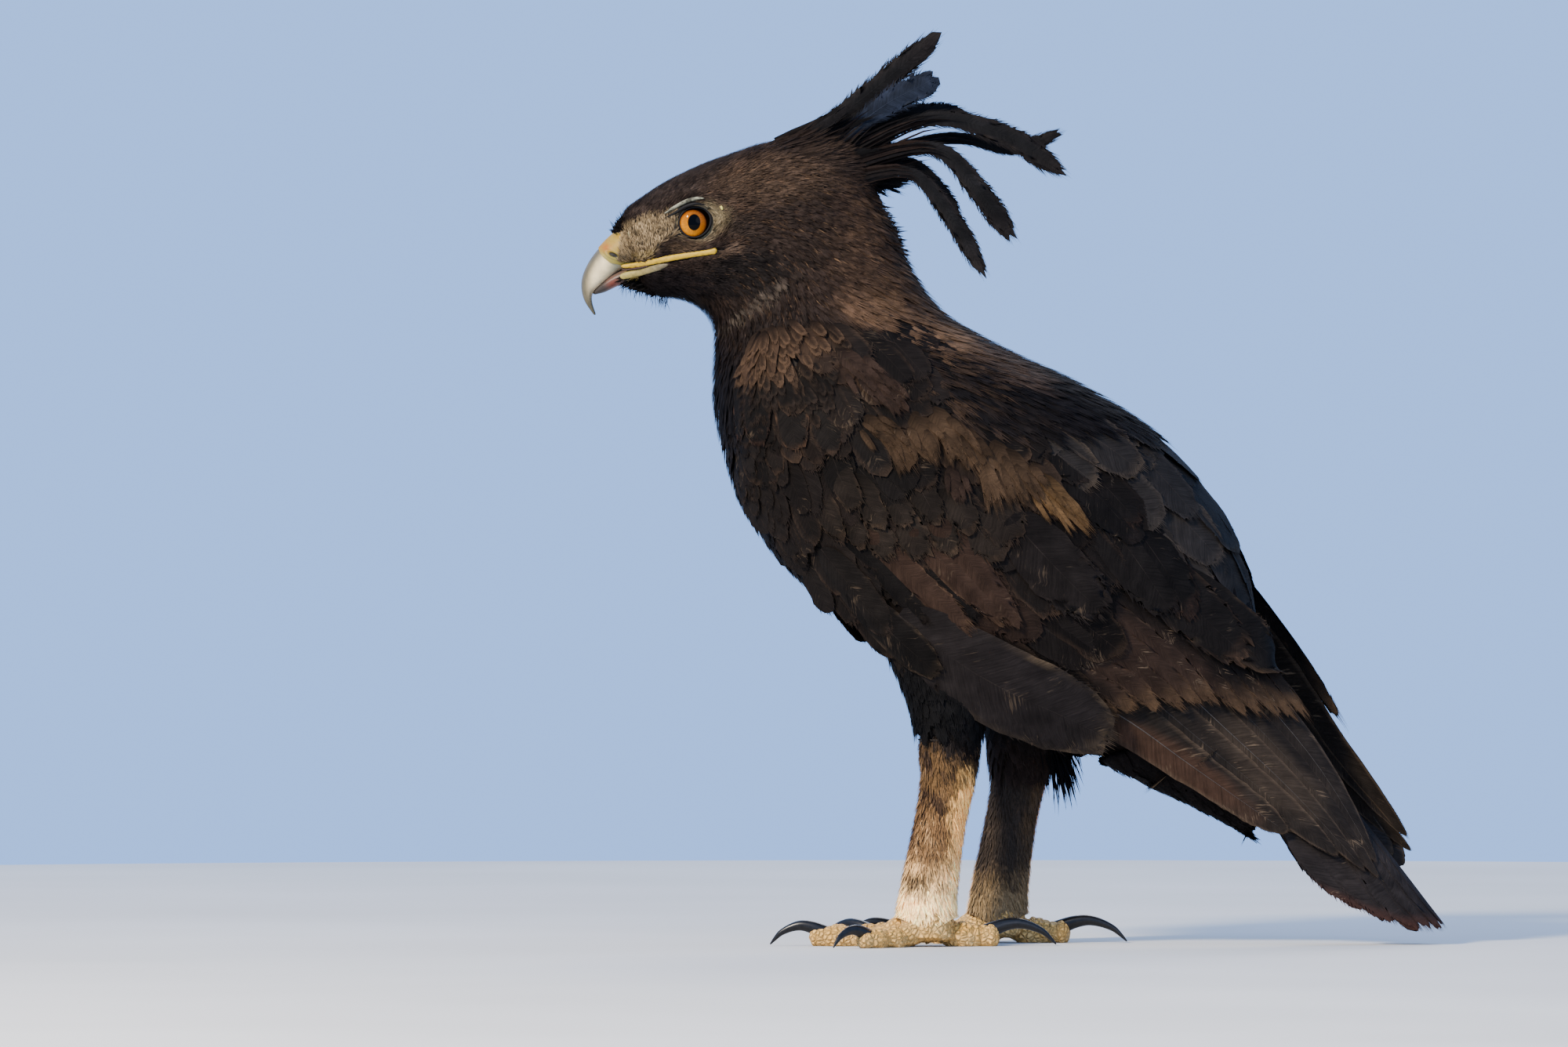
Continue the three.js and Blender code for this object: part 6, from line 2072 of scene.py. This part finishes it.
def build_feet():
    """One piece for each foot's toes, tubes with pads and plates, and a tapering bent tube for each claw."""
    scales = foot_finish()
    f = Finish("claw_horn")
    lines = f.grain(f.place(), 700.0, 3.0)
    colour = f.ramp(lines, [(0.3, shade(9, 9, 10)), (0.8, shade(24, 23, 24))])
    shine = {"Specular_IOR_Level": 0.25, "Coat_Weight": 0.08, "Coat_Roughness": 0.15}
    black_horn = f.finish(colour, lines, 0.00008, 0.3, Roughness=0.32, **shine)
    for side, word in SIDES:
        foot = Shell()
        heel = np.array([[ANKLE[0] + backs[side], side * HALF_STANCE, z] for z in (2.0, 9.0, 18.0)])
        forms = [(tube(heel, lambda s: (13.0 - 1.4 * s, 12.6 - 1.2 * s), 50, 40, 0.2), 1.0, None)]
        for toe, (_, length, radius, joints, _) in TOES.items():
            def radii(s, radius=radius, joints=joints, length=length):
                end = np.sqrt(np.maximum(0.02, 1 - np.maximum(0, (s - 0.86) / 0.14) ** 2))
                pads = 1 + 0.12 * np.cos(2 * np.pi * s * joints)
                plate = np.abs(np.sin(np.pi * s * length / 3.4))
                plates = 1 + 0.08 * np.sqrt(plate) * ease(0.25, 0.45, s)
                root = 1 + 0.32 * (1 - ease(0, 0.35, s))
                taper = mix(1.04, 0.86, s) * end * pads * root
                return radius * taper * plates, radius * 1.06 * taper * plates

            line = toe_point(side, toe, np.linspace(0, 1, 9))
            forms.append((tube(line, radii, 160, 40), length, toe))
        for form, length, toe in forms:
            flat, triangles = closed_form(form)
            lump = noise(flat, 2.2, 41) * 0.34 + noise(flat, 1.1, 42) * 0.24
            flat = flat + unit(flat - flat.mean(axis=0)) * lump[:, None] * (flat[:, 2:3] > 0.6)
            flat[:, 2] = np.maximum(flat[:, 2], 0.0)
            wave = 0.5 + 0.5 * noise(flat, 4, 43)[:, None]
            tint = mix(shade(216, 164, 84), shade(232, 190, 120), wave)
            if toe:
                grid = np.linspace(0, 1, form.rows)[1:-1]
                share = crowded(np.concatenate([[0], np.repeat(grid, form.columns - 1), [1]]))
                groove = 1 - ease(0.0, 0.35, np.abs(np.sin(np.pi * share * length / 3.4)))
                high = ease(0.2, 0.8, (flat[:, 2] - 1) / (1.6 * TOES[toe][2])) * ease(0.25, 0.4, share)
                tint = mix(tint, shade(140, 96, 46), (0.8 * groove * high)[:, None])
                tint = mix(tint, shade(232, 176, 80), (0.4 * (1 - groove) * high)[:, None])
            foot.add(flat, triangles, tint)
        foot.build(f"toes_{word}", "toe_scales", scales, (f"foot_{word}",))
        for toe, (_, _, radius, _, claw) in TOES.items():
            root, end = toe_point(side, toe, np.array([0.9, 1.0]))
            ahead = unit((end - root) * [1, 1, 0])
            high = radius * 1.35
            arch = [(out, high * rise) for out, rise in CLAW_ARCH] + [(1.1, 0.6)]
            line = np.array([root * [1, 1, 0] + ahead * claw * out + [0, 0, z] for out, z in arch])
            thick = 2.55 + 0.2 * radius

            def taper(s, thick=thick):
                return mix(thick, 0.3, s**1.15) * 0.8, mix(thick, 0.3, s**1.15)

            flat, triangles = closed_form(tube(line, taper, 60, 24, 0.02))
            flat[:, 2] = np.maximum(flat[:, 2], 0.1)
            part = f"{toe}_{word}"
            mesh_piece(f"talon_{part}", flat, triangles, black_horn, replaces=(f"claw_{part}",))


# ---- Build the bird ----
build_skin()
grow_head()
grow_bristles()
grow_neck()
grow_trunk()
for side, word in SIDES:
    grow_coverts(side, word)
    grow_quills(side, word)
grow_tail()
grow_crest()
grow_crest_base()
grow_legs()
build_eyes()
build_bill()
build_cere()
build_feet()


# ---- Floor, light and camera ----
FLOOR_RADIUS = 1.5
# The camera's lens and film width in mm, and the width in metres that it takes in at the bird.
LENS, FILM, WIDTH_SEEN = 300, 36, 0.720


def build_stage():
    """A wide pale round floor, a soft warm light from the front left, a fill, a rim light and a blue sky."""
    turn = np.linspace(0, 2 * np.pi, 97)[:-1]
    rim = np.stack([FLOOR_RADIUS * np.cos(turn), FLOOR_RADIUS * np.sin(turn), 0 * turn], 1)
    mesh = bpy.data.meshes.new("floor")
    mesh.from_pydata([tuple(v) for v in rim], [], [list(range(len(rim)))])
    f = Finish("pale_floor")
    soft = f.grain(f.place(), 3.0, 2.0)
    colour = f.ramp(soft, [(0.3, shade(190, 188, 182)), (0.7, shade(200, 198, 192))])
    mesh.materials.append(f.finish(colour, Roughness=0.85, Specular_IOR_Level=0.2))
    floor = bpy.data.objects.new("floor", mesh)
    bpy.context.scene.collection.objects.link(floor)

    world = bpy.data.worlds.new("sky")
    world.use_nodes = True
    back = world.node_tree.nodes["Background"]
    back.inputs[0].default_value = (0.45, 0.80, 1.62, 1)
    back.inputs[1].default_value = 1.0
    bpy.context.scene.world = world

    from mathutils import Vector

    middle = Vector((0, 0, 0.22))
    for name, place, size, power, colour in (
        ("key_light", (-1.7, -1.9, 1.8), 0.45, 210, (1.0, 0.88, 0.70)),
        ("fill_light", (1.0, -2.4, 0.9), 1.6, 12, (0.95, 0.95, 1.0)),
        ("rim_light", (0.2, 2.0, 2.0), 1.0, 30, (1.0, 0.93, 0.84)),
    ):
        lamp = bpy.data.lights.new(name, "AREA")
        lamp.shape, lamp.size, lamp.energy, lamp.color = "DISK", size, power, colour
        holder = bpy.data.objects.new(name, lamp)
        holder.location = place
        holder.rotation_euler = (middle - Vector(place)).to_track_quat("-Z", "Y").to_euler()
        bpy.context.scene.collection.objects.link(holder)

    camera = bpy.data.cameras.new("camera")
    camera.sensor_width, camera.lens = FILM, LENS
    holder = bpy.data.objects.new("camera", camera)
    holder.location = ((-105.8 + SHIFT[0]) * MM, -(WIDTH_SEEN * LENS / FILM), 0.1933)
    holder.rotation_euler = (np.pi / 2, 0, 0)
    camera.clip_end = 60
    bpy.context.scene.collection.objects.link(holder)
    bpy.context.scene.camera = holder


build_stage()
bpy.context.view_layer.update()
